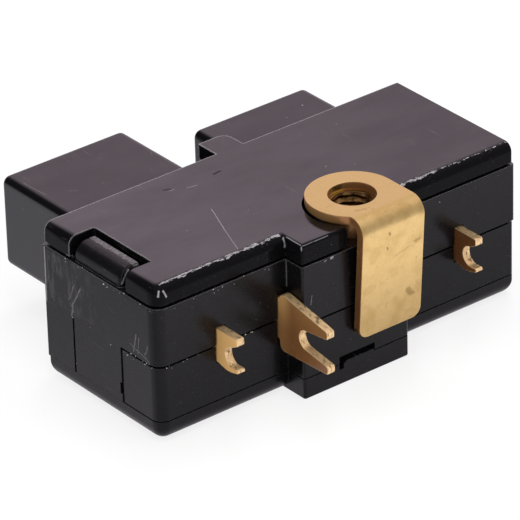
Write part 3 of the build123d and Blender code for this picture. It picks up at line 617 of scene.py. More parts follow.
def lid_marks(graph: Graph, groups: ShaderGroups, crest: Socket) -> Value:
    """Mask the painted highlights along the lid's front edge, its rear edge and its notch, its painted
    glints and its scratches.

    Args:
        graph: The material's graph.
        groups: The shared groups.
        crest: The mask of the lid's edges.

    Returns:
        The mask.
    """
    where = graph.millimetres()
    at = graph.axes()
    # Painted highlight: a broken bright line along the front edge of the lid.
    line = graph.linear(graph.noise(where, 0.8, 3.0, 0.6), 0.3, -7.4)
    off = graph.math("ABSOLUTE", graph.math("SUBTRACT", at["Y"], line))
    thick = graph.ramp(graph.noise(where, 2.4, 3.0, 0.6), 0.36, 0.66, 0.03, 0.19)
    thick = graph.math("SUBTRACT", thick, graph.ramp(at["X"], 8.0, 19.0, 0.0, 0.12))
    edge = graph.math("LESS_THAN", off, thick)
    beside = graph.math("GREATER_THAN", graph.math("ABSOLUTE", graph.math("ADD", at["X"], 0.025)), 6.0)
    streaks = graph.millimetres(scale=(0.5, 3.0, 3.0), turn=(0, 0, 4))
    fine = graph.ramp(graph.noise(streaks, 3.0, 3.0, 0.6), 0.4, 0.56, 0.12, 1.0)
    on_top = graph.math("GREATER_THAN", at["Z"], 14.4)
    edge = graph.times(edge, beside, on_top, fine, graph.math("GREATER_THAN", at["X"], -19.1))
    # Painted highlights along the rear edge, the tab and the edges of the notch.
    rear = graph.times(crest, graph.ramp(at["Y"], 7.3, 7.5), graph.ramp(at["Z"], 13.2, 13.6), 0.85)
    left = graph.math("LESS_THAN", at["X"], -17.0)
    notch = graph.times(crest, graph.window(at["Y"], -3.7, 4.8, 0.1), left, 0.55)
    return graph.most(rear, edge, notch, draw_strokes(graph, groups, LID_STROKES))


@dataclass(frozen=True)
class Brass:
    """Brass sheet with rolling marks, tarnish, specks, and bright torn faces where it was cut, with painted
    light on its tops and side plates and painted highlights along its edges.
    """

    name: str
    bright: Colour
    deep: Colour
    stain: Colour
    sheared_and_highlight: Colour
    rough: float = 0.3
    speckle: float = 0.7
    torn: float = 0.0
    skin: float = 0.5
    upper: Colour | None = None
    plate: Colour | None = None
    plate_shade: Colour | None = None
    satin: float = 0.5
    fade: tuple[float, float] = (4.0, 12.0)
    brushed: Point = (1.0, 1.0, 0.12)
    bump: float = 0.02
    smudges: tuple[Stroke, ...] = ()

    def build(self, groups: ShaderGroups) -> Material:
        """Build the material.

        Args:
            groups: The shared groups.

        Returns:
            The material.
        """
        made, graph = open_material(self.name)
        where = graph.millimetres()
        cloud = graph.ramp(graph.noise(where, 0.5, 5.0, 0.65), 0.38, 0.68)
        colour = graph.blend(cloud, self.bright, self.deep)
        fine = graph.ramp(graph.noise(where, 3.4, 6.0, 0.75), 0.6, 0.7)
        blots = graph.ramp(graph.noise(graph.millimetres(scale=(1.6, 1.0, 0.7)), 1.1, 5.0, 0.7), 0.62, 0.72)
        spot = graph.most(graph.times(blots, 0.5), fine, draw_strokes(graph, groups, self.smudges))
        faces = use_group(graph, groups.sides)
        at = graph.axes()
        if self.upper:
            # Painted light: the faces that look up take their own colour.
            colour = graph.blend(faces["Top"], colour, self.upper)
            # Darker towards the bottom.
            colour = graph.blend(graph.ramp(at["Z"], *self.fade, 0.3, 0.0), colour, self.stain)
        colour = graph.blend(graph.times(spot, self.speckle), colour, self.stain)
        metal = 1.0
        # Painted light and shade on the side plates, from the lit and shaded plate colours.
        if self.plate:
            side = faces["End" if self.torn else "Cut"]
            plate = graph.blend(self._lit(graph, at), self.plate_shade, self.plate)
            colour = graph.blend(side, colour, plate)
            metal = graph.linear(side, -self.satin, 1.0)
        # Painted highlight along every edge, in the bright colour of the torn cut faces.
        edges = use_group(graph, groups.edge_wear, Reach=0.16, Break_Up=3.0)["Crest"]
        colour = graph.blend(graph.times(edges, 0.6), colour, self.sheared_and_highlight)
        rolled = graph.noise(graph.millimetres(scale=self.brushed), 9.0, 4.0, 0.6)
        rough = graph.linear(spot, 0.15, graph.linear(rolled, 0.16, self.rough - 0.08))
        height = graph.linear(graph.noise(where, 0.7, 2.0, 0.5), self.skin * 8.0, rolled)
        if self.torn:
            cut = graph.invert(faces["End"])
            tears = graph.noise(graph.millimetres(scale=(2.4, 1.0, 1.0)), 2.2, 4.0, 0.6)
            pits = graph.times(graph.ramp(tears, 0.54, 0.66), cut)
            colour = graph.blend(graph.times(cut, 0.8), colour, self.sheared_and_highlight)
            colour = graph.blend(graph.times(pits, 0.75), colour, self.stain)
            rough = graph.linear(cut, 0.14, rough)
            metal = graph.linear(cut, -0.3, metal)
            height = graph.linear(pits, -self.torn, height)
        normal = graph.relief(height, self.bump)
        graph.surface({"Base Color": colour, "Roughness": rough, "Metallic": metal, "Normal": normal})
        return made

    @staticmethod
    def _lit(graph: Graph, at: Outputs) -> Value:
        """Mask where light is painted on the plates, all of the left one and the upper rear of the large
        one; the rest take painted shade.

        Args:
            graph: The material's graph.
            at: The coordinates in millimetres.

        Returns:
            The mask.
        """
        along = graph.times(graph.ramp(at["X"], 8.0, -10.0), graph.ramp(at["Z"], 6.5, 11.5, 0.2, 1.0))
        large = graph.times(along, graph.ramp(at["Y"], -8.2, -10.0, 1.0, 0.2))
        return graph.most(large, graph.ramp(at["X"], -10.0, -11.0))


BRACKET_SMUDGES = (
    Stroke((2.5, -11.8, 14.2), (2.6, -11.75, 14.0), 0.16, 0.9, 0.3),
    Stroke((2.3, -11.7, 12.8), (2.4, -11.65, 12.6), 0.12, 0.9, 0.3),
    Stroke((5.5, -11.6, 12.3), (5.9, -11.6, 12.4), 0.3, 0.7, 0.9),
    Stroke((3.0, -11.6, 11.5), (4.9, -11.6, 12.0), 0.06, 0.6, 0.2),
    Stroke((5.7, -11.6, 10.6), (5.6, -11.5, 7.6), 0.14, 0.55, 0.4),
    Stroke((4.9, -11.4, 7.5), (5.4, -11.4, 6.9), 0.42, 0.75, 0.9),
    Stroke((4.1, -11.4, 6.7), (5.4, -11.4, 6.5), 0.14, 0.8, 0.5),
    Stroke((3.4, -11.4, 7.9), (3.2, -11.4, 7.2), 0.12, 0.7, 0.5),
    Stroke((0.6, -9.6, 16.2), (1.4, -9.9, 16.2), 0.2, 0.4, 0.4),
)


@dataclass(frozen=True)
class PlainMetal:
    """A plain drawn or turned metal with fine lines."""

    name: str
    light: Colour
    dark: Colour
    rough: float = 0.3
    lines: Point = (0.3, 6.0, 0.3)

    def build(self, groups: ShaderGroups) -> Material:
        """Build the material.

        Args:
            groups: The shared groups.

        Returns:
            The material.
        """
        made, graph = open_material(self.name)
        drawn = graph.noise(graph.millimetres(scale=self.lines), 3.0, 4.0, 0.6)
        edges = use_group(graph, groups.edge_wear, Reach=0.1, Break_Up=3.0)["Mask"]
        colour = graph.blend(graph.ramp(drawn, 0.35, 0.65), self.light, self.dark)
        colour = graph.blend(graph.times(edges, 0.5), colour, self.light)
        rough = graph.linear(drawn, 0.2, self.rough - 0.1)
        normal = graph.relief(drawn, 0.01, 0.6)
        graph.surface({"Base Color": colour, "Roughness": rough, "Metallic": 1.0, "Normal": normal})
        return made


@dataclass(frozen=True)
class Crumb:
    """Pale dust and swarf that clings along the seams."""

    name: str
    light: Colour
    dark: Colour

    def build(self) -> Material:
        """Build the material.

        Returns:
            The material.
        """
        made, graph = open_material(self.name)
        tone = graph.ramp(graph.noise(graph.millimetres(), 1.3, 2.0, 0.5), 0.4, 0.6)
        graph.surface({"Base Color": graph.blend(tone, self.light, self.dark), "Roughness": 0.6})
        return made


class Finishes:
    """Every material of the unit, built once."""

    def __init__(self) -> None:
        """Build the shared groups and the materials."""
        groups = ShaderGroups()
        plastic = {
            "base": rgb(0.0042, 0.0038, 0.0044),
            "rubbed_and_highlight": rgb(0.34, 0.325, 0.34),
            "dusty": rgb(0.42, 0.41, 0.4),
        }
        self.shell = BlackPlastic(
            "shell_plastic",
            gloss_rough=0.24,
            dull_rough=0.3,
            wear=0.1,
            light_marks=shell_marks,
            dark_marks=SHELL_SHADOWS,
            ridges=3.0,
            **plastic,
        ).build(groups)
        self.lid = BlackPlastic(
            "lid_plastic",
            gloss_rough=0.1,
            dull_rough=0.15,
            side_level=0.05,
            end_coat=0.116,
            top_coat=0.707,
            coat_ior=1.6,
            top_slope=0.011,
            wear=0.05,
            crest=0.22,
            light_marks=lid_marks,
            dark_marks=LID_DENTS,
            **plastic,
        ).build(groups)
        self.button = BlackPlastic(
            "button_plastic",
            gloss_rough=0.2,
            dull_rough=0.24,
            side_level=0.06,
            end_coat=0.769,
            top_coat=0.424,
            coat_ior=1.8,
            wear=0.05,
            light_marks=button_marks,
            **plastic,
        ).build(groups)
        carrier = BlackPlastic("carrier_plastic", gloss_rough=0.36, dull_rough=0.5, **plastic)
        self.carrier = carrier.build(groups)
        # The top colour and the two plate colours are painted light and shade; the bright cut colour also
        # paints the edge highlights.
        self.brass = Brass(
            "bracket_brass",
            bright=rgb(0.75, 0.54, 0.225),
            deep=rgb(0.62, 0.43, 0.16),
            stain=rgb(0.26, 0.16, 0.06),
            sheared_and_highlight=rgb(0.95, 0.74, 0.4),
            upper=rgb(0.6, 0.44, 0.16),
            plate=rgb(0.62, 0.36, 0.14),
            plate_shade=rgb(0.3, 0.13, 0.045),
            satin=0.45,
            rough=0.32,
            smudges=BRACKET_SMUDGES,
        ).build(groups)
        # Dark colours: painted shade inside the bore.
        self.thread = Brass(
            "thread_brass_painted_shade",
            bright=rgb(0.26, 0.15, 0.055),
            deep=rgb(0.07, 0.038, 0.014),
            stain=rgb(0.03, 0.018, 0.008),
            sheared_and_highlight=rgb(0.8, 0.6, 0.3),
            speckle=0.95,
            rough=0.3,
            skin=2.0,
        ).build(groups)
        # The two plate colours are painted light and shade on the side plates; the bright cut colour also
        # paints the edge highlights.
        self.terminal = Brass(
            "terminal_brass_skin",
            bright=rgb(0.8, 0.5, 0.22),
            deep=rgb(0.66, 0.38, 0.15),
            stain=rgb(0.13, 0.055, 0.018),
            sheared_and_highlight=rgb(0.95, 0.7, 0.38),
            rough=0.22,
            speckle=0.3,
            torn=4.0,
            skin=0.3,
            plate=rgb(0.98, 0.58, 0.22),
            plate_shade=rgb(0.2, 0.08, 0.026),
            satin=0.85,
            brushed=(1.0, 1.0, 1.0),
        ).build(groups)
        silver = PlainMetal("contact_silver_skin", rgb(0.86, 0.85, 0.82), rgb(0.6, 0.58, 0.55))
        steel = PlainMetal("spring_wire", rgb(0.62, 0.62, 0.63), rgb(0.4, 0.4, 0.42))
        self.contact = silver.build(groups)
        self.spring = steel.build(groups)
        self.crumb = Crumb("pale_crumbs", rgb(0.5, 0.48, 0.46), rgb(0.1, 0.1, 0.1)).build()


# --------------------------------------------------------------------------- mesh helpers


def cover(mesh: Mesh, material: Material) -> None:
    """Give a mesh one material."""
    mesh.materials.clear()
    mesh.materials.append(material)


def add_object(name: str, data: ID) -> Object:
    """Put an object with its data in the scene.

    Args:
        name: The object's name.
        data: Its mesh, lamp or camera.

    Returns:
        The new object.
    """
    made = bpy.data.objects.new(name, data)
    bpy.context.scene.collection.objects.link(made)
    return made


def new_piece(name: str, mesh: Mesh, material: Material) -> Object:
    """Put a mesh in the scene with one material.

    Args:
        name: The piece's name.
        mesh: Its mesh, already in place.
        material: Its material.

    Returns:
        The new object.
    """
    cover(mesh, material)
    return add_object(name, mesh)


def round_edges(piece: Object, width: float, segments: int = 3) -> None:
    """Round a piece's sharp edges and keep its flats flat.

    Args:
        piece: The piece.
        width: Width of the rounding in millimetres.
        segments: Faces across the rounding.
    """
    bevel = piece.modifiers.new("edges", "BEVEL")
    bevel.width = width * MM
    bevel.segments = segments
    bevel.limit_method = "ANGLE"
    bevel.angle_limit = math.radians(SHARP)
    bevel.use_clamp_overlap = True
    bevel.miter_outer = "MITER_ARC"
    for polygon in piece.data.polygons:
        polygon.use_smooth = True
    even = piece.modifiers.new("flats", "WEIGHTED_NORMAL")
    even.mode = "FACE_AREA"
    even.weight = 90
    even.keep_sharp = True


def crisp_copy(node: str, name: str, material: Material, width: float, segments: int = 3) -> Object:
    """Copy a CAD node, merge its loose triangles into faces and round its edges.

    Args:
        node: The CAD node.
        name: The new piece's name.
        material: Its material.
        width: Width of the rounding in millimetres.
        segments: Faces across the rounding.

    Returns:
        The new piece.
    """
    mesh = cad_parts[node].data.copy()
    work = bmesh.new()
    work.from_mesh(mesh)
    bmesh.ops.remove_doubles(work, verts=work.verts, dist=SAME_POINT)
    bmesh.ops.dissolve_limit(work, angle_limit=FLAT, verts=work.verts, edges=work.edges)
    work.to_mesh(mesh)
    work.free()
    mesh.name = name
    piece = new_piece(name, mesh, material)
    round_edges(piece, width, segments)
    return piece


def finish_node(node: str, material: Material) -> None:
    """Give a CAD node that stays its material."""
    cover(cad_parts[node].data, material)


def place(piece: Object, body: Body, slot: Slot, *nodes: str) -> Object:
    """Ride a piece on its body and let it stand for CAD nodes.

    Args:
        piece: The piece.
        body: The body it moves with.
        slot: The record's slot for its finish; not used.
        *nodes: The CAD nodes it replaces.

    Returns:
        The piece.
    """
    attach(piece, body.value)
    if nodes:
        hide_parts(*nodes)
    LOG.info("piece %s rides on %s and stands for %s", piece.name, body.value, ", ".join(nodes) or "nothing")
    return piece


# --------------------------------------------------------------------------- geometry trees


class Recipe:
    """A Geometry Nodes tree with named inputs, run once into a plain mesh."""

    def __init__(self, name: str, numbers: dict[str, float], material: Material) -> None:
        """Build the tree.

        Args:
            name: The tree's name.
            numbers: Its inputs and their values.
            material: The material of its shape.
        """
        self.tree = bpy.data.node_groups.new(name, "GeometryNodeTree")
        self.numbers = numbers
        self.material = material
        face = self.tree.interface
        face.new_socket("Geometry", in_out="INPUT", socket_type="NodeSocketGeometry")
        for label, value in numbers.items():
            kind = "NodeSocketInt" if isinstance(value, int) else "NodeSocketFloat"
            face.new_socket(label, in_out="INPUT", socket_type=kind)
        face.new_socket("Geometry", in_out="OUTPUT", socket_type="NodeSocketGeometry")
        self.graph = Graph(self.tree)
        self.start = self.graph.node("NodeGroupInput")
        self._close(self.shape())

    def shape(self) -> Socket:
        """Return the geometry that the tree makes."""
        raise NotImplementedError

    def given(self, label: str) -> Socket:
        """Return one of the tree's inputs."""
        return self.start.outputs[label]

    def _close(self, shape: Socket) -> None:
        """End the tree with a smooth shape in its material.

        Args:
            shape: The geometry to put out.
        """
        real = self.graph.node("GeometryNodeRealizeInstances", {"Geometry": shape})
        smooth = self.graph.node("GeometryNodeSetShadeSmooth", {"Geometry": real.outputs["Geometry"]})
        inputs = {"Geometry": smooth.outputs["Geometry"], "Material": self.material}
        dressed = self.graph.node("GeometryNodeSetMaterial", inputs)
        self.graph.end(self.graph.node("NodeGroupOutput"), Geometry=dressed.outputs["Geometry"])

    def run(self, name: str, shift: Matrix, seed_mesh: Mesh | None = None) -> Object:
        """Run the tree into a plain mesh.

        Args:
            name: The piece's name.
            shift: Where the shape goes.
            seed_mesh: The mesh that the tree starts from, where it needs one.

        Returns:
            The new piece.
        """
        host = add_object(name + "_host", seed_mesh or bpy.data.meshes.new(name + "_host"))
        modifier = host.modifiers.new("recipe", "NODES")
        modifier.node_group = self.tree
        for item in self.tree.interface.items_tree:
            if item.item_type == "SOCKET" and item.in_out == "INPUT" and item.name in self.numbers:
                modifier[item.identifier] = self.numbers[item.name]
        graph = bpy.context.evaluated_depsgraph_get()
        mesh = bpy.data.meshes.new_from_object(host.evaluated_get(graph))
        host.modifiers.remove(modifier)
        bpy.data.objects.remove(host)
        mesh.transform(shift)
        mesh.name = name
        return new_piece(name, mesh, self.material)


class Coil(Recipe):
    """A round wire along a helix, from Radius, Height, Turns, Steps, Section and Sides."""

    def shape(self) -> Socket:
        """Sweep the wire's section along the helix.

        Returns:
            The coil.
        """
        graph = self.graph
        radius = self.given("Radius")
        path = {"Start Radius": radius, "End Radius": radius, "Height": self.given("Height")}
        counts = {"Resolution": self.given("Steps"), "Rotations": self.given("Turns")}
        spiral = graph.node("GeometryNodeCurveSpiral", {**counts, **path}).outputs["Curve"]
        upright = graph.node("GeometryNodeSetCurveNormal", {"Curve": spiral}, mode="Z_UP").outputs["Curve"]
        wire = {"Resolution": self.given("Sides"), "Radius": self.given("Section")}
        section = graph.node("GeometryNodeCurvePrimitiveCircle", wire).outputs["Curve"]
        inputs = {"Curve": upright, "Profile Curve": section, "Fill Caps": True}
        swept = graph.node("GeometryNodeCurveToMesh", inputs)
        return swept.outputs["Mesh"]


class Thread(Recipe):
    """A bore with a thread, from Crest, Depth, Pitch, Height, Ragged, Around and Along."""

    def shape(self) -> Socket:
        """Roll a grid into the bore.

        Returns:
            The bore's wall.
        """
        graph = self.graph
        counts = {"Vertices X": self.given("Around"), "Vertices Y": self.given("Along")}
        grid = graph.node("GeometryNodeMeshGrid", {"Size X": 1.0, "Size Y": 1.0, **counts})
        at = graph.axes(graph.node("GeometryNodeInputPosition").outputs[0])
        share = graph.math("ADD", at["X"], 0.5)
        angle = graph.times(share, -2 * math.pi)
        up = graph.times(graph.math("ADD", at["Y"], 0.5), self.given("Height"))
        turns = graph.math("ADD", graph.math("DIVIDE", up, self.given("Pitch")), share)
        tooth = graph.times(graph.math("PINGPONG", turns, 0.5), 2.0)
        radius = graph.linear(tooth, self.given("Depth"), self.given("Crest"))
        across, along = graph.math("COSINE", angle), graph.math("SINE", angle)
        spot = graph.node("ShaderNodeCombineXYZ", {0: across, 1: along, 2: graph.times(up, 1 / MM)})
        chips = graph.math("SUBTRACT", graph.noise(spot.outputs["Vector"], 2.2, 4.0, 0.6), 0.5)
        radius = graph.linear(chips, self.given("Ragged"), radius)
        rolled = {0: graph.times(radius, across), 1: graph.times(radius, along), 2: up}
        rolled = graph.node("ShaderNodeCombineXYZ", rolled).outputs["Vector"]
        wall = {"Geometry": grid.outputs["Mesh"], "Position": rolled}
        moved = graph.node("GeometryNodeSetPosition", wall).outputs["Geometry"]
        joined = graph.node("GeometryNodeMergeByDistance", {"Geometry": moved, "Distance": 1e-6})
        return joined.outputs["Geometry"]


class CrumbScatter(Recipe):
    """Small lumps scattered over the faces of a mesh, from Density, Size and Seed."""

    def shape(self) -> Socket:
        """Scatter the lumps.

        Returns:
            The lumps.
        """
        graph = self.graph
        seed = self.given("Seed")
        inputs = {"Mesh": self.given("Geometry"), "Density": self.given("Density"), "Seed": seed}
        points = graph.node("GeometryNodeDistributePointsOnFaces", inputs).outputs["Points"]
        lump = graph.node("GeometryNodeMeshIcoSphere", {"Radius": self.given("Size"), "Subdivisions": 2})
        spread = {"Min": (0.25, 0.25, 0.25), "Max": (1.3, 1.3, 1.0), "Seed": seed}
        sizes = graph.node("FunctionNodeRandomValue", spread, data_type="FLOAT_VECTOR").outputs["Value"]
        inputs = {"Points": points, "Instance": lump.outputs["Mesh"], "Scale": sizes}
        placed = graph.node("GeometryNodeInstanceOnPoints", inputs)
        return placed.outputs["Instances"]


def ribbon(name: str, path: Sequence[tuple[float, float]], low: float, high: float) -> Mesh:
    """Make an upright ribbon along a path.

    Args:
        name: The mesh's name.
        path: Its points in X and Y, in millimetres.
        low: Its lower edge in millimetres.
        high: Its upper edge in millimetres.

    Returns:
        The mesh.
    """
    points = [(x * MM, y * MM, z * MM) for x, y in path for z in (low, high)]
    faces = [(2 * i, 2 * i + 2, 2 * i + 3, 2 * i + 1) for i in range(len(path) - 1)]
    mesh = bpy.data.meshes.new(name)
    mesh.from_pydata(points, [], faces)
    return mesh


# --------------------------------------------------------------------------- sub-assemblies


@dataclass
class Housing:
    """The four black mouldings that snap together."""

    finishes: Finishes
    seam: float = 0.07
    lid_edge: float = 0.1
    nose_depth: float = 2.23
    upper_wall: float = 5.6
    crumb_size: float = 0.07
    crumbs: float = 2.2  # to a square millimetre
    strip: tuple[float, float] = (-0.45, 0.05)
    rear_gap: float = 2.4
    front_reach: float = 13.0

    def build(self) -> None:
        """Build the four mouldings."""
        black = self.finishes.shell
        for node in ("bottom_cover", "lower_shell", "upper_shell"):
            piece = crisp_copy(node, node + "_moulding", black, self.seam)
            place(piece, Body.HOUSING, Slot.HOUSING, node)
        lid = crisp_copy("top_cover", "top_cover_moulding", self.finishes.lid, self.lid_edge)
        place(lid, Body.HOUSING, Slot.HOUSING, "top_cover")
        self._crumbs()

    def _crumbs(self) -> None:
        """Scatter dust and swarf along the seams of the front and the left end."""
        low, high = (Vector(corner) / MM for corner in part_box("upper_shell"))
        front, left = low.y + self.nose_depth, low.x
        path = ((left, high.y - self.rear_gap), (left, front), (left + self.front_reach, front))
        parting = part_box("lower_shell")[1][2] / MM
        numbers = {"Density": self.crumbs / MM**2, "Size": self.crumb_size * MM}
        seams = (("seam_crumbs_a", 0, parting + self.upper_wall), ("seam_crumbs_b", 4, parting))
        for name, seed, top in seams:
            strip = ribbon(name + "_strip", path, top + self.strip[0], top + self.strip[1])
            recipe = CrumbScatter(name + "_recipe", {**numbers, "Seed": seed}, self.finishes.crumb)
            piece = recipe.run(name, Matrix(), strip)
            place(piece, Body.HOUSING, Slot.HOUSING)


@dataclass
class PushButton:
    """A push button with its carrier, bridge, contacts and return spring."""

    finishes: Finishes
    name: str
    body: Body
    edge: float = 0.08
    wire: float = 0.5
    turns: float = 5.5

    def build(self) -> None:
        """Build the button and dress what moves with it."""
        cap = crisp_copy(self.name + "_button", self.name + "_button_cap", self.finishes.button, self.edge)
        place(cap, self.body, Slot.BUTTON, self.name + "_button")
        finish_node(self.name + "_carrier", self.finishes.carrier)
        finish_node(self.name + "_bridge", self.finishes.terminal)
        finish_node(self.name + "_bridge_contacts", self.finishes.contact)
        self._spring()

    def _spring(self) -> None:
        """Wind the return spring as one fixed coil, which does not shorten as the button goes in."""
        node = self.name + "_return_spring"
        low, high = (Vector(corner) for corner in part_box(node))
        middle = (low + high) / 2
        half_wire = self.wire * MM / 2
        numbers = {
            "Radius": (high.x - low.x) / 2 - half_wire,
            "Height": high.y - low.y - self.wire * MM,
            "Turns": self.turns,
            "Steps": 24,
            "Section": half_wire,
            "Sides": 10,
        }
        recipe = Coil(node + "_recipe", numbers, self.finishes.spring)
        lie_down = Matrix.Rotation(math.radians(-90), 4, "X")
        shift = Matrix.Translation((middle.x, low.y + half_wire, middle.z)) @ lie_down
        coil = recipe.run(node + "_coil", shift)
        place(coil, Body.HOUSING, Slot.SPRING, node)
        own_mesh(coil)


@dataclass
class Terminals:
    """The three forked terminals and the contacts riveted to them."""

    finishes: Finishes
    edge: float = 0.26
    segments: int = 4

    def build(self) -> None:
        """Build the terminals and dress the contacts."""
        for side in ("left", "common", "right"):
            node = side + "_terminal"
            brass = self.finishes.terminal
            piece = crisp_copy(node, node + "_stamping", brass, self.edge, self.segments)
            place(piece, Body.HOUSING, Slot.TERMINAL, node)
        for node in ("left_contact", "common_contacts", "right_contact"):
            finish_node(node, self.finishes.contact)


@dataclass
class EarthFixing:
    """The bent earth bracket and the threaded bush under its hole."""

    finishes: Finishes
    edge: float = 0.14
    pitch: float = 0.7
    depth: float = 0.3
    crest: float = 1.65
    blind: float = 0.6
    ragged: float = 0.5
    bush_edge: float = 0.1
    bore_slack: float = 0.05

    def build(self) -> None:
        """Build the bracket and the bush."""
        bracket = crisp_copy("earth_bracket", "earth_bracket_strip", self.finishes.brass, self.edge)
        place(bracket, Body.HOUSING, Slot.BRASS, "earth_bracket")
        self._bush()

    def _bush(self) -> None:
        """Open the bush's bore and cut a thread into it."""
        low, high = (Vector(corner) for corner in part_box("threaded_bush"))
        middle = (low + high) / 2
        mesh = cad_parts["threaded_bush"].data.copy()
        root = self.crest + self.depth
        for vertex in mesh.vertices:
            flat = Vector((vertex.co.x - middle.x, vertex.co.y - middle.y, 0.0))
            if flat.length < (self.crest + self.bore_slack) * MM:
                flat = flat.normalized() * root * MM
                vertex.co = Vector((middle.x + flat.x, middle.y + flat.y, vertex.co.z))
        bush = new_piece("threaded_bush_turning", mesh, self.finishes.brass)
        round_edges(bush, self.bush_edge)
        place(bush, Body.HOUSING, Slot.BRASS, "threaded_bush")
        numbers = {
            "Crest": self.crest * MM,
            "Depth": self.depth * MM,
            "Pitch": self.pitch * MM,
            "Height": high.z - low.z - self.blind * MM,
            "Ragged": self.ragged * MM,
            "Around": 97,
            "Along": 120,
        }
        recipe = Thread("bush_thread_recipe", numbers, self.finishes.thread)
        shift = Matrix.Translation((middle.x, middle.y, low.z + self.blind * MM))
        thread = recipe.run("bush_thread", shift)
        place(thread, Body.HOUSING, Slot.BRASS)


# --------------------------------------------------------------------------- studio


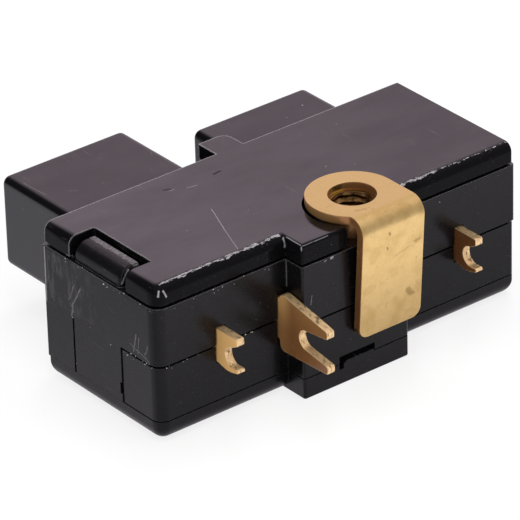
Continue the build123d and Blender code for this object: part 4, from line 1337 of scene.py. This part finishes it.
@dataclass
class Studio:
    """A pale floor, soft lamps, a white surround and the camera."""

    camera_place: Point = (-0.239088, -0.304664, 0.224465)
    azimuth: float = -37.823
    elevation: float = 29.252
    roll: float = -1.660
    lens: float = 348.5
    floor_size: float = 3.0
    front_sky: Point = (0.6, 0.56, 0.58)
    high_sky: Point = (0.98, 0.88, 0.93)
    left_sky: Point = (0.06, 0.06, 0.08)
    back_sky: Point = (1.16, 0.94, 1.09)
    floor_front: Point = (1.34, 1.26, 1.36)
    floor_left: Point = (0.43, 0.41, 0.475)
    floor_shade: float = 0.38
    floor_far: float = 0.55

    def build(self) -> None:
        """Set up the floor, the lamps, the surround and the camera."""
        self._floor()
        self._surround()
        self._lamps()
        self._camera()

    def _floor(self) -> None:
        """Lay a pale floor that keeps a light shadow, and that glows in reflections with painted light and
        shade.
        """
        mesh = bpy.data.meshes.new("studio_floor")
        half = self.floor_size / 2
        square = [(-half, -half, 0), (half, -half, 0), (half, half, 0), (-half, half, 0)]
        mesh.from_pydata(square, [], [(0, 1, 2, 3)])
        material, graph = open_material("floor_paper")
        paper = graph.node("ShaderNodeBsdfDiffuse", {"Color": rgb(0.9, 0.9, 0.9)})
        glow = graph.node("ShaderNodeEmission", {"Color": rgb(1.0, 1.0, 1.0), "Strength": 1.0})
        paths = graph.node("ShaderNodeLightPath").outputs
        share = graph.times(paths["Is Camera Ray"], 0.8)
        mixed = graph.node("ShaderNodeMixShader", {0: share, 1: paper.outputs[0], 2: glow.outputs[0]})
        at = graph.axes()
        # Reflections see the floor brighter in front than to the left, with a painted shadow near the unit's
        # front and painted shade far off.
        side = graph.ramp(graph.math("SUBTRACT", at["Y"], at["X"]), -30.0, 60.0)
        near = graph.times(graph.ramp(at["Y"], -32.0, -11.0), self.floor_shade)
        far = graph.times(graph.ramp(at["Y"], -36.0, -62.0), self.floor_far)
        dark = graph.times(graph.most(near, far), graph.invert(side))
        tone = graph.blend(side, rgb(*self.floor_front), rgb(*self.floor_left))
        tone = graph.blend(dark, tone, rgb(0.0, 0.0, 0.0))
        mirrored = graph.node("ShaderNodeEmission", {"Color": tone, "Strength": 1.0})
        glossy = graph.times(paths["Is Glossy Ray"], 0.8)
        final = graph.node("ShaderNodeMixShader", {0: glossy, 1: mixed.outputs[0], 2: mirrored.outputs[0]})
        graph.node("ShaderNodeOutputMaterial", {"Surface": final.outputs[0]})
        new_piece("studio_floor", mesh, material)

    def _surround(self) -> None:
        """Make the world white to the eye, bright low down behind the unit and dim in front."""
        world = bpy.data.worlds.new("surround")
        bpy.context.scene.world = world
        world.use_nodes = True
        world.node_tree.nodes.clear()
        graph = Graph(world.node_tree)
        direction = graph.node("ShaderNodeTexCoord").outputs["Generated"]
        turn = math.radians(self.azimuth)
        away = (-math.sin(turn), math.cos(turn), 0.0)
        leftward = (-math.cos(turn), -math.sin(turn), 0.0)
        up = graph.axes(direction)["Z"]
        left = graph.ramp(graph.dot(direction, leftward), 0.2, 0.6)
        behind = graph.ramp(graph.dot(direction, away), 0.35, 0.75)
        behind = graph.times(behind, graph.ramp(up, 0.55, 0.85, 1.0, 0.0))
        light = graph.blend(graph.ramp(up, 0.55, 0.8), rgb(*self.front_sky), rgb(*self.high_sky))
        light = graph.blend(left, light, rgb(*self.left_sky))
        light = graph.blend(behind, light, rgb(*self.back_sky))
        paths = graph.node("ShaderNodeLightPath").outputs
        seen = graph.most(paths["Is Camera Ray"], paths["Is Transmission Ray"])
        reflected = graph.blend(paths["Is Glossy Ray"], rgb(0.5, 0.5, 0.5), light)
        colour = graph.blend(seen, reflected, rgb(1.0, 1.0, 1.0))
        back = graph.node("ShaderNodeBackground", {"Color": colour, "Strength": 1.0})
        graph.node("ShaderNodeOutputWorld", {"Surface": back.outputs[0]})

    def _lamps(self) -> None:
        """Hang a long soft strip overhead and two wide panels at the sides."""
        self._panel("overhead_strip", (0.02, -0.02, 0.5), (0.0, 0.0, 0.015), (0.55, 0.1), 1.2)
        self._panel("back_panel", (0.1, 0.2, 0.6), (0.0, 0.0, 0.01), (0.4, 0.2), 0.8)
        self._panel("left_panel", (-0.5, 0.05, 0.35), (0.0, 0.0, 0.01), (0.4, 0.4), 0.8)
        self._panel("right_panel", (0.3, -0.45, 0.35), (0.0, 0.0, 0.01), (0.4, 0.4), 0.8)

    @staticmethod
    def _panel(name: str, at: Point, towards: Point, size: tuple[float, float], power: float) -> None:
        """Hang one rectangular lamp.

        Args:
            name: The lamp's name.
            at: Where it hangs, in metres.
            towards: What it points at.
            size: Its width and height in metres.
            power: Its power in watts.
        """
        lamp = bpy.data.lights.new(name, "AREA")
        lamp.shape = "RECTANGLE"
        lamp.size, lamp.size_y = size
        lamp.energy = power
        made = add_object(name, lamp)
        made.location = at
        made.rotation_euler = (Vector(towards) - Vector(at)).to_track_quat("-Z", "Y").to_euler()
        made.visible_glossy = False

    def _camera(self) -> None:
        """Stand the camera at the viewing angle."""
        turn = math.radians(self.azimuth)
        rise = math.radians(self.elevation)
        roll = math.radians(self.roll)
        back = Vector((math.sin(turn) * math.cos(rise), -math.cos(turn) * math.cos(rise), math.sin(rise)))
        right = (-back).cross(Vector((0, 0, 1))).normalized()
        up = right.cross(-back).normalized()
        side = math.cos(roll) * right + math.sin(roll) * up
        head = -math.sin(roll) * right + math.cos(roll) * up
        lens = bpy.data.cameras.new("camera")
        lens.lens = self.lens
        lens.sensor_width = 36.0
        lens.clip_start = 0.01
        lens.clip_end = 10.0
        made = add_object("camera", lens)
        matrix = Matrix((side, head, back)).transposed().to_4x4()
        matrix.translation = Vector(self.camera_place)
        made.matrix_world = matrix
        bpy.context.scene.camera = made


def main() -> None:
    """Build the unit and the studio."""
    logging.basicConfig(level=logging.INFO, format="%(name)s: %(message)s")
    scene = bpy.context.scene
    scene.view_settings.view_transform = "Standard"
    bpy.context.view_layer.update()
    finishes = Finishes()
    Housing(finishes).build()
    PushButton(finishes, "horn", Body.HORN_PUSH).build()
    PushButton(finishes, "pass", Body.PASS_PUSH).build()
    Terminals(finishes).build()
    EarthFixing(finishes).build()
    Studio().build()


if __name__ == "__main__":
    main()
